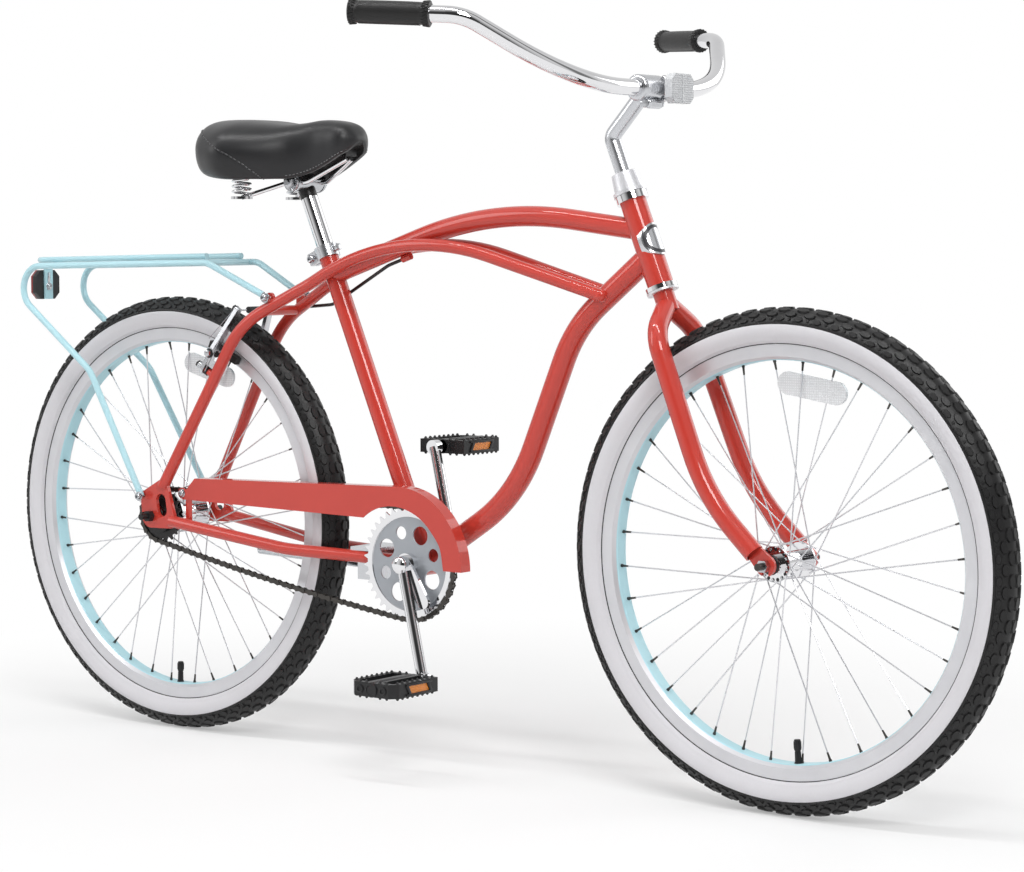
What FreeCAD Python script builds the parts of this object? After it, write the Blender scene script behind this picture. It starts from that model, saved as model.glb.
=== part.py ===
"""Beach cruiser bicycle, in millimetres: +X forward, +Y to the left, +Z up.

The origin is on the ground, midway between the axles, and the drive side is the right (-Y) side.
"""
import FreeCAD, Part
import math
import os

import Sketcher
from FreeCAD import Placement, Rotation, Vector

SIZES = {
    # Wheels and tyres
    "wheelbase": 1094.0,
    "tyre_radius": 333.0,
    "tyre_width": 54.0,
    "tyre_wall": 4.0,
    "rim_seat_radius": 285.0,
    "rim_inner_radius": 264.0,
    "rim_width": 33.0,
    "rim_wall": 4.0,
    "rim_well_depth": 16.0,
    "rim_chamfer": 5.0,
    "rim_shoulder": 7.0,
    "spoke_pairs": 18,
    "spoke_radius": 1.0,
    "spoke_end_gap": 0.3,
    "spoke_lace_angle": 60.0,
    "spoke_reflector_length": 104.0,
    "spoke_reflector_height": 30.0,
    "spoke_reflector_thickness": 4.6,
    "spoke_reflector_radius": 246.0,
    "front_reflector_angle": 81.0,
    "rear_reflector_angle": 74.0,
    # Hubs and axles
    "axle_radius": 4.75,
    "cone_radius": 8.0,
    "running_fit": 0.05,
    "flange_thickness": 3.0,
    "flange_land": 1.0,
    "spoke_seat_gap": 0.45,
    "front_hub_length": 84.0,
    "front_flange_radius": 23.5,
    "front_flange_spacing": 62.0,
    "front_barrel_radius": 14.0,
    "front_axle_length": 148.0,
    "fork_spacing": 100.0,
    "rear_flange_radius": 33.0,
    "rear_flange_spacing": 56.0,
    "rear_barrel_radius": 20.0,
    "rear_hub_left_end": 48.0,
    "rear_hub_end_radius": 15.0,
    "rear_axle_length": 176.0,
    "rear_spacing": 120.0,
    "cone_length": 22.0,
    "nut_across_corners": 17.3,
    "nut_height": 9.0,
    "axle_slot_clearance": 0.3,
    # Frame
    "bottom_bracket_ahead": 491.85,
    "bottom_bracket_drop": 41.0,
    "bracket_shell_radius": 20.0,
    "bracket_shell_wall": 3.0,
    "bracket_shell_width": 68.0,
    "bracket_cup_lip": 4.0,
    "bracket_cup_depth": 14.0,
    "seat_tube_angle": 66.8,
    "seat_tube_length": 490.0,
    "seat_tube_radius": 14.3,
    "seatpost_radius": 12.7,
    "head_angle": 68.0,
    "head_tube_length": 122.0,
    "head_tube_radius": 18.0,
    "head_tube_bore": 15.0,
    "fork_length": 406.6,
    "fork_rake": 51.8,
    "tube_wall": 1.6,
    "top_tube_radius": 14.3,
    "top_tube_seat_height": 446.0,
    "top_tube_head_drop": 41.6,
    "top_tube_corner_share": 0.55,
    "top_tube_rise_share": 0.1112,
    "top_tube_bend_share": 1.107,
    "down_tube_radius": 15.9,
    "down_tube_head_rise": 44.7,
    "down_tube_upper_share": 0.2675,
    "down_tube_upper_rise_share": 0.0487,
    "down_tube_lower_share": 0.688,
    "down_tube_lower_sag_share": 0.0894,
    "down_tube_upper_bend_share": 0.337,
    "down_tube_lower_bend_share": 0.4105,
    "twin_tube_radius": 9.0,
    "twin_tube_front_run": 89.0,
    "twin_tube_front_half": 17.0,
    "twin_tube_rear_slope": 27.0,
    "twin_tube_stay_slope": 59.5,
    "twin_tube_apex_share": 0.3239,
    "twin_tube_bend_share": 0.864,
    "twin_tube_flare_run": 33.0,
    "twin_tube_flare_bend": 150.0,
    "stay_bend": 150.0,
    "stay_bend_half": 46.0,
    "stay_foot_ahead": 24.0,
    "stay_foot_rise": 46.0,
    "chainstay_radius": 9.0,
    "chainstay_root_half": 20.0,
    "chainstay_bend_ahead": 260.0,
    "chainstay_bend_drop": 35.0,
    "chainstay_bend_half": 47.0,
    "chainstay_bend": 320.0,
    "chainstay_foot_ahead": 40.0,
    "chainstay_foot_drop": 6.0,
    "dropout_thickness": 6.0,
    "dropout_axle_ring": 18.0,
    "dropout_arm": 11.0,
    "eyelet_behind": 14.0,
    "eyelet_rise": 30.0,
    "eyelet_ring": 7.0,
    "eyelet_bore": 2.6,
    "dropout_window": 10.0,
    "joint_gap": 0.3,
    "collar_height": 18.0,
    "collar_wall": 3.0,
    "collar_ear_length": 13.0,
    "collar_ear_width": 18.0,
    "collar_slit": 3.0,
    "badge_height": 46.0,
    "badge_arc": 52.0,
    "badge_thickness": 2.0,
    # Headset, fork, stem and handlebar
    "headset_cup_radius": 22.0,
    "headset_cup_height": 10.0,
    "headset_lower_height": 6.0,
    "cover_foot_radius": 23.0,
    "cover_top_radius": 17.5,
    "cover_height": 30.0,
    "steerer_radius": 12.7,
    "quill_radius": 11.1,
    "fork_crown_radius": 14.3,
    "fork_blade_radius": 13.5,
    "fork_blade_wall": 2.0,
    "fork_shoulder_half": 51.0,
    "fork_shoulder_drop": 67.0,
    "fork_shoulder_bend": 56.0,
    "fork_root_drop": 29.0,
    "fork_foot_half": 56.0,
    "fork_sweep_drop": 293.0,
    "fork_sweep_bend": 276.0,
    "fork_blade_stop": 20.0,
    "fork_end_thickness": 5.0,
    "fork_end_ring": 14.0,
    "fork_end_root": 34.0,
    "stem_depth": 70.0,
    "stem_rise": 94.0,
    "stem_clamp_ahead": 58.0,
    "stem_clamp_rise": 63.5,
    "stem_bend": 13.0,
    "stem_clamp_radius": 18.0,
    "stem_clamp_width": 44.0,
    "handlebar_radius": 11.1,
    "handlebar_wall": 1.8,
    "handlebar_flat_half": 169.5,
    "handlebar_flat_ahead": 5.4,
    "handlebar_top_half": 293.6,
    "handlebar_top_behind": 81.7,
    "handlebar_rise": 83.2,
    "handlebar_end_half": 355.5,
    "handlebar_end_behind": 214.0,
    "handlebar_end_rise": 90.6,
    "handlebar_lower_bend": 250.0,
    "handlebar_upper_bend": 60.0,
    "grip_radius": 14.6,
    "grip_length": 107.0,
    "grip_collar_radius": 16.5,
    "grip_collar_length": 9.0,
    "front_reflector_width": 50.0,
    "front_reflector_height": 40.0,
    "front_reflector_depth": 13.0,
    "front_reflector_corner": 8.0,
    "front_reflector_left": 34.0,
    "front_reflector_ahead": 22.0,
    "reflector_post_radius": 6.0,
    "reflector_band_width": 14.0,
    "reflector_band_wall": 3.0,
    # Drive
    "chain_pitch": 12.7,
    "chain_line": 43.0,
    "chainring_teeth": 40,
    "sprocket_teeth": 20,
    "tooth_thickness": 2.4,
    "chain_gap": 3.4,
    "chain_plate": 1.0,
    "chain_plate_half": 4.1,
    "chain_plate_waist": 0.6,
    "roller_radius": 3.9,
    "chainring_disc_radius": 76.0,
    "chainring_rim_width": 8.0,
    "chainring_rim_height": 1.5,
    "chainring_hole_circle": 46.0,
    "chainring_large_hole": 13.5,
    "chainring_small_hole": 9.5,
    "chainring_hole_start": 19.0,
    "freewheel_radius": 27.0,
    "freewheel_length": 15.0,
    "freewheel_bore": 17.0,
    "spindle_radius": 8.5,
    "crank_length": 165.0,
    "crank_rest_angle": 17.5,
    "crank_inner_face": 53.5,
    "crank_thickness": 12.5,
    "crank_flare": 16.0,
    "crank_arm_radius": 8.3,
    "crank_boss_radius": 16.0,
    "crank_head_radius": 13.0,
    "crank_end_radius": 10.5,
    "drive_arm_angle": 55.0,
    "drive_arm_reach": 62.0,
    "drive_arm_radius": 10.0,
    "drive_arm_thickness": 5.0,
    "pedal_spindle_radius": 5.0,
    "pedal_gap": 11.0,
    "pedal_width": 95.0,
    "pedal_depth": 82.0,
    "pedal_height": 20.0,
    "pedal_rail": 9.0,
    "pedal_core": 24.0,
    "pedal_corner": 11.0,
    "pedal_reflector_width": 44.0,
    "pedal_reflector_height": 11.0,
    "pedal_reflector_depth": 3.0,
    # Chainguard
    "guard_face": 51.0,
    "guard_depth": 21.0,
    "guard_sheet": 1.5,
    "guard_outer_radius": 115.0,
    "guard_centre_behind": 15.6,
    "guard_centre_drop": 5.0,
    "guard_lobe_rise": 36.6,
    "guard_lobe_radius": 8.5,
    "guard_rear_ahead": 52.0,
    "guard_rear_top": 60.0,
    "guard_rear_bottom": 27.0,
    "guard_chamfer": 26.0,
    "guard_tab_width": 12.0,
    # Rear rack
    "rack_rod_radius": 5.0,
    "rack_lug_ahead": 220.0,
    "rack_lug_rise": 335.0,
    "rack_lug_half": 41.0,
    "rack_front_ahead": 113.0,
    "rack_front_rise": 386.0,
    "rack_front_half": 56.0,
    "rack_rear_rise": 377.0,
    "rack_rear_half": 65.0,
    "rack_tail_behind": 344.0,
    "rack_tail_bend": 35.0,
    "rack_front_bend": 40.0,
    "rack_knee_behind": 129.0,
    "rack_knee_rise": 218.0,
    "rack_knee_bend": 60.0,
    "rack_bar_radius": 4.7,
    "rack_hoop_half": 38.0,
    "rack_hoop_rear": 283.0,
    "rack_hoop_bend": 30.0,
    "rack_bar_rear": 225.0,
    "rack_bar_middle": 60.0,
    "rack_bar_front": 96.0,
    "rack_lug_thickness": 5.0,
    "rear_reflector_width": 50.0,
    "rear_reflector_height": 46.0,
    "rear_reflector_depth": 12.0,
    "rear_lens_depth": 4.0,
    "rear_reflector_corner": 10.0,
    "reflector_hanger_width": 17.0,
    "reflector_hanger_length": 62.0,
    "reflector_hanger_sheet": 2.5,
    # Rear brake
    "brake_boss_run": 196.0,
    "brake_boss_radius": 5.0,
    "brake_boss_length": 20.0,
    "brake_post_radius": 4.0,
    "brake_post_length": 16.0,
    "brake_arm_length": 104.0,
    "brake_arm_thickness": 6.6,
    "brake_arm_foot": 9.0,
    "brake_arm_top": 5.0,
    "brake_arm_lean": 9.0,
    "brake_pad_length": 60.0,
    "brake_pad_height": 11.0,
    "brake_pad_thickness": 10.0,
    "brake_pad_rim_gap": 2.5,
    "brake_pad_radius": 277.0,
    "brake_pin_radius": 3.0,
    "brake_cable_radius": 2.5,
    "brake_boot_radius": 5.0,
    "brake_boot_length": 24.0,
    "brake_wire_radius": 1.2,
    "cable_stop_ahead": 440.0,
    "cable_stop_length": 16.0,
    "cable_stop_radius": 5.0,
    "cable_stop_sink": 0.6,
    "cable_bend": 14.0,
    "cable_side_half": 68.0,
    # Saddle
    "seatpost_rise": 97.0,
    "seatpost_depth": 110.0,
    "seatpost_wall": 2.0,
    "clamp_width": 52.0,
    "clamp_radius": 14.0,
    "clamp_lift": 5.0,
    "rail_radius": 3.5,
    "rail_clamp_half": 22.0,
    "rail_nose_ahead": 85.0,
    "rail_nose_rise": 33.0,
    "spring_behind": 72.0,
    "spring_half": 60.0,
    "spring_radius": 13.0,
    "spring_wire": 2.0,
    "spring_turns": 3,
    "spring_pitch": 7.6,
    "spring_seat_radius": 16.0,
    "spring_seat_height": 4.0,
    "spring_seat_drop": 24.0,
    "pan_thickness": 3.0,
    "nose_bracket_length": 8.0,
    "nose_bracket_width": 24.0,
    "saddle_length": 254.0,
    "saddle_nose_ahead": 108.0,
    "saddle_half_width": 118.0,
    "saddle_height": 84.0,
    "pan_well_margin": 3.0,
    # Kickstand
    "stand_behind": 95.0,
    "stand_plate_length": 46.0,
    "stand_plate_width": 70.0,
    "stand_plate_thickness": 5.0,
    "stand_body_width": 38.0,
    "stand_body_height": 26.0,
    "stand_bolt_radius": 5.0,
    "stand_hinge_half": 26.0,
    "stand_hinge_drop": 24.0,
    "stand_tilt": 18.5,
    "stand_yaw": 4.0,
    "stand_hub_radius": 10.0,
    "stand_hub_width": 16.0,
    "stand_leg_radius": 7.0,
    "stand_leg_length": 280.0,
}

X_AXIS = Vector(1, 0, 0)
Y_AXIS = Vector(0, 1, 0)
Z_AXIS = Vector(0, 0, 1)
SIDES = {"right": -1, "left": 1}

doc = FreeCAD.newDocument("BeachCruiser")
sheet = doc.addObject("Spreadsheet::Sheet", "Sizes")
for row, (alias, number) in enumerate(SIZES.items(), start=1):
    sheet.set(f"A{row}", alias)
    sheet.set(f"B{row}", str(number))
    sheet.setAlias(f"B{row}", alias)
doc.recompute()


class Size:
    """A dimension as its number and as an expression on the sheet."""

    def __init__(self, value, text):
        self.value = value
        self.text = text

    def __float__(self):
        return float(self.value)

    def __add__(self, other):
        return Size(self.value + float(other), f"({self.text} + {expression(other)})")

    def __sub__(self, other):
        return Size(self.value - float(other), f"({self.text} - {expression(other)})")

    def __mul__(self, factor):
        return Size(self.value * float(factor), f"({self.text} * {expression(factor)})")

    def __truediv__(self, factor):
        return Size(self.value / float(factor), f"({self.text} / {expression(factor)})")


def expression(value):
    """The sheet expression of a Size, or a plain number as text."""
    return value.text if isinstance(value, Size) else repr(float(value))


class Sizes:
    """Reads a cell as a Size that an object's property can be bound to."""

    def __getattr__(self, alias):
        return Size(float(sheet.get(alias)), f"Sizes.{alias}")


class Numbers:
    """Reads a cell as a plain number."""

    def __getattr__(self, alias):
        return float(sheet.get(alias))


size = Sizes()
mm = Numbers()
nodes = {}


def node(label, item):
    """Names a finished sub-part."""
    item.Label = label
    nodes[label] = item
    return item


def unit(vector):
    """A copy of the vector with length one."""
    copy = Vector(vector)
    copy.normalize()
    return copy


def slope(degrees):
    """Unit vector in the XZ plane that rises forward at this angle."""
    angle = math.radians(degrees)
    return Vector(math.cos(angle), 0, math.sin(angle))


def meet(point, direction, other_point, other_direction):
    """Where two lines of the XZ plane cross."""
    offset = other_point - point
    turn = direction.x * other_direction.z - direction.z * other_direction.x
    along = (offset.x * other_direction.z - offset.z * other_direction.x) / turn
    return point + direction * along


def beside(point, half_width):
    """The point moved sideways to the given Y."""
    return Vector(point.x, half_width, point.z)


def mirrored(points, side):
    """The same points on the right or the left side."""
    return [Vector(point.x, side * point.y, point.z) for point in points]


def place(item, base, axis=Z_AXIS):
    """Stands an item's own Z axis on a base point, along an axis."""
    item.Placement = Placement(base, Rotation(Z_AXIS, axis))
    return item


def bound(kind, name, **properties):
    """A document object whose properties are bound to the sheet."""
    item = doc.addObject(kind, name)
    for key, value in properties.items():
        item.setExpression(key, value.text)
    return item


def cylinder(name, radius, height, base, axis):
    """A round bar."""
    return place(bound("Part::Cylinder", name, Radius=radius, Height=height), base, axis)


def cut(name, base, *tools):
    """The base with each tool taken away."""
    for tool in tools:
        result = doc.addObject("Part::Cut", name)
        result.Base = base
        result.Tool = tool
        base = result
    return base


def fuse(name, *items):
    """Several overlapping items as one solid."""
    result = doc.addObject("Part::MultiFuse", name)
    result.Shapes = list(items)
    result.Refine = True
    return result


def group(name, *items):
    """Separate solids that share one node."""
    result = doc.addObject("Part::Compound", name)
    result.Links = list(items)
    return result


def pipe(name, radius, bore, height, base, axis):
    """A straight hollow bar."""
    outside = cylinder(name + "_outside", radius, height, base, axis)
    inside = cylinder(name + "_bore", bore, height, base, axis)
    return cut(name, outside, inside)


def box(name, length, width, height, corner):
    """A block with its low corner at a point."""
    item = bound("Part::Box", name, Length=length, Width=width, Height=height)
    item.Placement = Placement(corner, Rotation())
    return item


def bent_path(points, radii):
    """Straight runs joined by tangent arcs."""
    edges = []
    start = points[0]
    for before, corner, after, radius in zip(points, points[1:], points[2:], radii):
        back = unit(before - corner)
        ahead = unit(after - corner)
        half = back.getAngle(ahead) / 2
        reach = radius / math.tan(half)
        first = corner + back * reach
        last = corner + ahead * reach
        middle = corner + unit(back + ahead) * (radius / math.sin(half) - radius)
        edges.append(Part.LineSegment(start, first).toShape())
        edges.append(Part.Arc(first, middle, last).toShape())
        start = last
    edges.append(Part.LineSegment(start, points[-1]).toShape())
    return Part.Wire(edges)


def rod(name, points, radii, radius):
    """A round rod swept along a bent path."""
    spine = doc.addObject("Part::Feature", name + "_path")
    spine.Shape = bent_path(points, radii)
    section = bound("Part::Circle", name + "_section", Radius=radius)
    place(section, points[0], points[1] - points[0])
    sweep = doc.addObject("Part::Sweep", name)
    sweep.Sections = [section]
    sweep.Spine = (spine, [f"Edge{index + 1}" for index in range(len(spine.Shape.Edges))])
    sweep.Solid = True
    return sweep


def tube(name, points, radii, radius, wall):
    """A bent tube, as its hollow body and the solid rod that copes its neighbours."""
    outside = rod(name + "_outside", points, radii, radius)
    inside = rod(name + "_inside", points, radii, radius - wall)
    return cut(name, outside, inside), outside


def extrude(name, face, direction, length):
    """A flat face thickened along a direction."""
    base = doc.addObject("Part::Feature", name + "_face")
    base.Shape = face
    item = doc.addObject("Part::Extrusion", name)
    item.Base = base
    item.DirMode = "Custom"
    item.Dir = direction
    item.Solid = True
    item.setExpression("LengthFwd", length.text)
    return item


def polygon_face(points, normal=None):
    """A flat face inside straight edges, facing along the normal if one is given."""
    face = Part.Face(Part.makePolygon(points + points[:1]))
    if normal is not None and face.normalAt(0, 0).dot(normal) < 0:
        return polygon_face(points[::-1])
    return face


def strap_face(discs, normal):
    """Discs, each a centre and a radius, joined in turn by their outer tangents."""
    pieces = [Part.Face(Part.Wire(Part.Circle(centre, normal, radius).toShape())) for centre, radius in discs]
    for (start, start_radius), (end, end_radius) in zip(discs, discs[1:]):
        along = unit(end - start)
        across = normal.cross(along)
        lean = (start_radius - end_radius) / (end - start).Length
        spread = math.sqrt(1 - lean * lean)
        arms = [along * lean + across * (turn * spread) for turn in (1, -1)]
        corners = [start + arms[0] * start_radius, end + arms[0] * end_radius]
        corners += [end + arms[1] * end_radius, start + arms[1] * start_radius]
        pieces.append(polygon_face(corners, normal))
    if len(discs) > 3 and discs[0] == discs[-1]:
        pieces.append(polygon_face([centre for centre, _ in discs[:-1]], normal))
    joined = pieces[0].fuse(pieces[1:]).removeSplitter()
    if len(joined.Faces) != 1:
        raise ValueError("the strap is not one face")
    return joined.Faces[0]


def turned(name, base, axis, profile):
    """A body revolved about its axis from a profile of (radius, height) corners."""
    body = doc.addObject("PartDesign::Body", name)
    sketch = body.newObject("Sketcher::SketchObject", name + "_profile")
    plane = [item for item in body.Origin.OriginFeatures if item.Role == "XZ_Plane"][0]
    sketch.AttachmentSupport = [(plane, "")]
    sketch.MapMode = "FlatFace"
    corners = [Vector(float(radius), float(height), 0) for radius, height in profile]
    count = len(corners)
    for index in range(count):
        sketch.addGeometry(Part.LineSegment(corners[index], corners[(index + 1) % count]), False)
    for index in range(count):
        sketch.addConstraint(Sketcher.Constraint("Coincident", index, 2, (index + 1) % count, 1))
    for index, (radius, height) in enumerate(profile):
        pin_corner(sketch, index, "DistanceX", -2, radius)
        pin_corner(sketch, index, "DistanceY", -1, height)
    revolution = body.newObject("PartDesign::Revolution", name + "_turn")
    revolution.Profile = sketch
    revolution.ReferenceAxis = (sketch, ["V_Axis"])
    revolution.Angle = 360
    body.Tip = revolution
    return place(body, base, axis)


def pin_corner(sketch, index, kind, axis, value):
    """Fixes one coordinate of a profile corner, on the axis or at a sheet value."""
    if float(value) == 0:
        sketch.addConstraint(Sketcher.Constraint("PointOnObject", index, 1, axis))
        return
    number = sketch.addConstraint(Sketcher.Constraint(kind, -1, 1, index, 1, float(value)))
    name = f"{kind}{index}"
    sketch.renameConstraint(number, name)
    sketch.setExpression(f"Constraints.{name}", value.text)


# Main points of the frame
rear_axle = Vector(-mm.wheelbase / 2, 0, mm.tyre_radius)
front_axle = Vector(mm.wheelbase / 2, 0, mm.tyre_radius)
bottom_bracket = rear_axle + Vector(mm.bottom_bracket_ahead, 0, -mm.bottom_bracket_drop)
steer_up = slope(180 - mm.head_angle)
steer_ahead = slope(90 - mm.head_angle)
head_foot = front_axle - steer_ahead * mm.fork_rake + steer_up * mm.fork_length
head_top = head_foot + steer_up * mm.head_tube_length
seat_up = slope(180 - mm.seat_tube_angle)
seat_top = bottom_bracket + seat_up * mm.seat_tube_length
seat_crossing = bottom_bracket + seat_up * mm.top_tube_seat_height
ZERO = size.joint_gap * 0


def steering_point(drop, ahead=0.0, half=0.0):
    """A point of the fork: down from the foot of the head tube, ahead of the axis and sideways."""
    return head_foot - steer_up * drop + steer_ahead * ahead + Y_AXIS * half


# Frame tubes
def frame_tubes():
    """Head, seat, top and down tubes, the twin tubes and the chainstays, coped where they meet."""
    head = pipe("head", size.head_tube_radius, size.head_tube_bore, size.head_tube_length, head_foot, steer_up)
    head_outside = cylinder("head_cope", size.head_tube_radius, size.head_tube_length, head_foot, steer_up)
    node("head_tube", head)

    shell_start = bottom_bracket - Y_AXIS * (mm.bracket_shell_width / 2)
    shell_bore = size.bracket_shell_radius - size.bracket_shell_wall
    shell = pipe("shell", size.bracket_shell_radius, shell_bore, size.bracket_shell_width, shell_start, Y_AXIS)
    shell_outside = cylinder("shell_cope", size.bracket_shell_radius, size.bracket_shell_width, shell_start, Y_AXIS)
    node("bottom_bracket_shell", shell)

    seat_bore = size.seatpost_radius + size.running_fit
    seat = pipe("seat", size.seat_tube_radius, seat_bore, size.seat_tube_length, bottom_bracket, seat_up)
    seat_outside = cylinder("seat_cope", size.seat_tube_radius, size.seat_tube_length, bottom_bracket, seat_up)
    node("seat_tube", cut("seat_coped", seat, shell_outside))

    top_points = top_tube_points()
    top_bend = mm.top_tube_bend_share * (top_points[-1] - top_points[0]).Length
    top, top_outside = tube("top", top_points, [top_bend], size.top_tube_radius, size.tube_wall)
    node("top_tube", cut("top_coped", top, head_outside, seat_outside))

    down_points = down_tube_points()
    down_length = (down_points[-1] - down_points[0]).Length
    down_bends = [mm.down_tube_upper_bend_share * down_length, mm.down_tube_lower_bend_share * down_length]
    down, down_outside = tube("down", down_points, down_bends, size.down_tube_radius, size.tube_wall)
    node("down_tube", cut("down_coped", down, head_outside, shell_outside, seat_outside))

    twins = []
    twin_outsides = []
    for label, side in SIDES.items():
        points = mirrored(twin_points(), side)
        twin_bend = mm.twin_tube_bend_share * (twin_front() - seat_crossing).Length
        bends = [twin_bend, mm.twin_tube_flare_bend, mm.stay_bend]
        twin, outside = tube("twin_" + label, points, bends, size.twin_tube_radius, size.tube_wall)
        tip = bound("Part::Sphere", "twin_tip_" + label, Radius=size.twin_tube_radius)
        tip.Placement = Placement(points[0], Rotation())
        closed = fuse("twin_closed_" + label, twin, tip)
        slot = dropout_slot("twin_slot_" + label, side)
        twins.append(cut("twin_coped_" + label, closed, down_outside, top_outside, seat_outside, slot))
        twin_outsides.append(outside)
    node("twin_tubes", group("twin_pair", *twins))

    stays = []
    stay_outsides = []
    for label, side in SIDES.items():
        points = mirrored(chainstay_points(), side)
        stay, outside = tube("stay_" + label, points, [mm.chainstay_bend], size.chainstay_radius, size.tube_wall)
        slot = dropout_slot("stay_slot_" + label, side)
        stays.append(cut("stay_coped_" + label, stay, shell_outside, seat_outside, slot))
        stay_outsides.append(outside)
    node("chainstays", group("stay_pair", *stays))
    return twin_outsides, stay_outsides, seat_outside, top_outside


def top_tube_points():
    """Ends of the top tube and the corner that it arches under."""
    front = head_top - steer_up * mm.top_tube_head_drop
    span = front - seat_crossing
    corner = seat_crossing + span * mm.top_tube_corner_share + span.cross(Y_AXIS) * mm.top_tube_rise_share
    return [seat_crossing, corner, front]


def down_tube_points():
    """Ends and two corners of the down tube, which bows forward above the bottom bracket."""
    start = head_foot + steer_up * mm.down_tube_head_rise
    span = bottom_bracket - start
    sag = span.cross(Y_AXIS)
    upper = start + span * mm.down_tube_upper_share - sag * mm.down_tube_upper_rise_share
    lower = start + span * mm.down_tube_lower_share + sag * mm.down_tube_lower_sag_share
    return [start, upper, lower, bottom_bracket]


def twin_front():
    """Middle point between the front tips of the twin tubes, on the down tube's upper run."""
    start, corner = down_tube_points()[:2]
    return start + unit(corner - start) * mm.twin_tube_front_run


def twin_points():
    """Corners of a left twin tube: along the main tubes, past the seat tube and down to the dropout."""
    front = twin_front()
    clear_half = mm.seat_tube_radius + mm.twin_tube_radius + mm.joint_gap
    rear = slope(mm.twin_tube_rear_slope)
    stay = slope(mm.twin_tube_stay_slope)
    foot = rear_axle + Vector(mm.stay_foot_ahead, 0, mm.stay_foot_rise)
    apex = seat_crossing + rear * ((front - seat_crossing).Length * mm.twin_tube_apex_share)
    flare = seat_crossing - rear * mm.twin_tube_flare_run
    knee = meet(seat_crossing, rear, foot, stay)
    corners = [beside(front, mm.twin_tube_front_half), beside(apex, clear_half), beside(flare, clear_half)]
    return corners + [beside(knee, mm.stay_bend_half), beside(foot, dropout_middle())]


def chainstay_points():
    """Corners of a left chainstay, from the bottom bracket to the dropout."""
    bend = rear_axle + Vector(mm.chainstay_bend_ahead, mm.chainstay_bend_half, -mm.chainstay_bend_drop)
    foot = rear_axle + Vector(mm.chainstay_foot_ahead, dropout_middle(), -mm.chainstay_foot_drop)
    return [bottom_bracket + Y_AXIS * mm.chainstay_root_half, bend, foot]


def dropout_middle():
    """Y of the middle of the left dropout plate."""
    return mm.rear_spacing / 2 + mm.dropout_thickness / 2


def dropout_start(side):
    """Y of the low side of a dropout plate."""
    return mm.rear_spacing / 2 if side > 0 else -mm.rear_spacing / 2 - mm.dropout_thickness


def dropout_discs(side, reach):
    """Outline of a dropout plate: chainstay foot, axle ring, eyelet and stay foot."""
    shift = Y_AXIS * dropout_start(side)
    axle = rear_axle + shift
    stay = axle + Vector(mm.stay_foot_ahead, 0, mm.stay_foot_rise) + slope(mm.twin_tube_stay_slope) * reach
    chainstay = axle + Vector(mm.chainstay_foot_ahead + reach, 0, -mm.chainstay_foot_drop)
    eyelet = axle + Vector(-mm.eyelet_behind, 0, mm.eyelet_rise)
    arm = mm.dropout_arm
    return [(chainstay, arm), (axle, mm.dropout_axle_ring), (eyelet, mm.eyelet_ring), (stay, arm), (chainstay, arm)]


def dropout_slot(name, side):
    """The slit in a stay's end that the dropout plate is brazed into."""
    return extrude(name, strap_face(dropout_discs(side, 0.0), Y_AXIS), Y_AXIS, size.dropout_thickness)


def dropouts():
    """Rear plates with an axle slot open to the back and an eyelet for the rack."""
    plates = []
    for label, side in SIDES.items():
        plate = extrude("plate_" + label, strap_face(dropout_discs(side, 0.0), Y_AXIS), Y_AXIS, size.dropout_thickness)
        base = rear_axle + Y_AXIS * dropout_start(side)
        slot_radius = mm.axle_radius + mm.axle_slot_clearance
        slot_ends = [(base, slot_radius), (base - X_AXIS * (2 * mm.dropout_axle_ring), slot_radius)]
        slot = extrude("axle_slot_" + label, strap_face(slot_ends, Y_AXIS), Y_AXIS, size.dropout_thickness)
        eyelet = base + Vector(-mm.eyelet_behind, 0, mm.eyelet_rise)
        hole = cylinder("eyelet_" + label, size.eyelet_bore, size.dropout_thickness, eyelet, Y_AXIS)
        window_low = base + Vector(mm.stay_foot_ahead, 0, mm.stay_foot_rise * 0.22)
        window_high = base + Vector(mm.stay_foot_ahead * 0.9, 0, mm.stay_foot_rise * 0.54)
        window_ends = [(window_low, mm.dropout_window), (window_high, mm.dropout_window)]
        window = extrude("window_" + label, strap_face(window_ends, Y_AXIS), Y_AXIS, size.dropout_thickness)
        plates.append(cut("dropout_plate_" + label, plate, slot, hole, window))
    node("dropouts", group("dropout_pair", *plates))


def stay_point(run):
    """A point of the left stay's straight leg, this far above its foot, and the leg's direction."""
    points = twin_points()
    leg = unit(points[-2] - points[-1])
    return points[-1] + leg * run, leg


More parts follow.
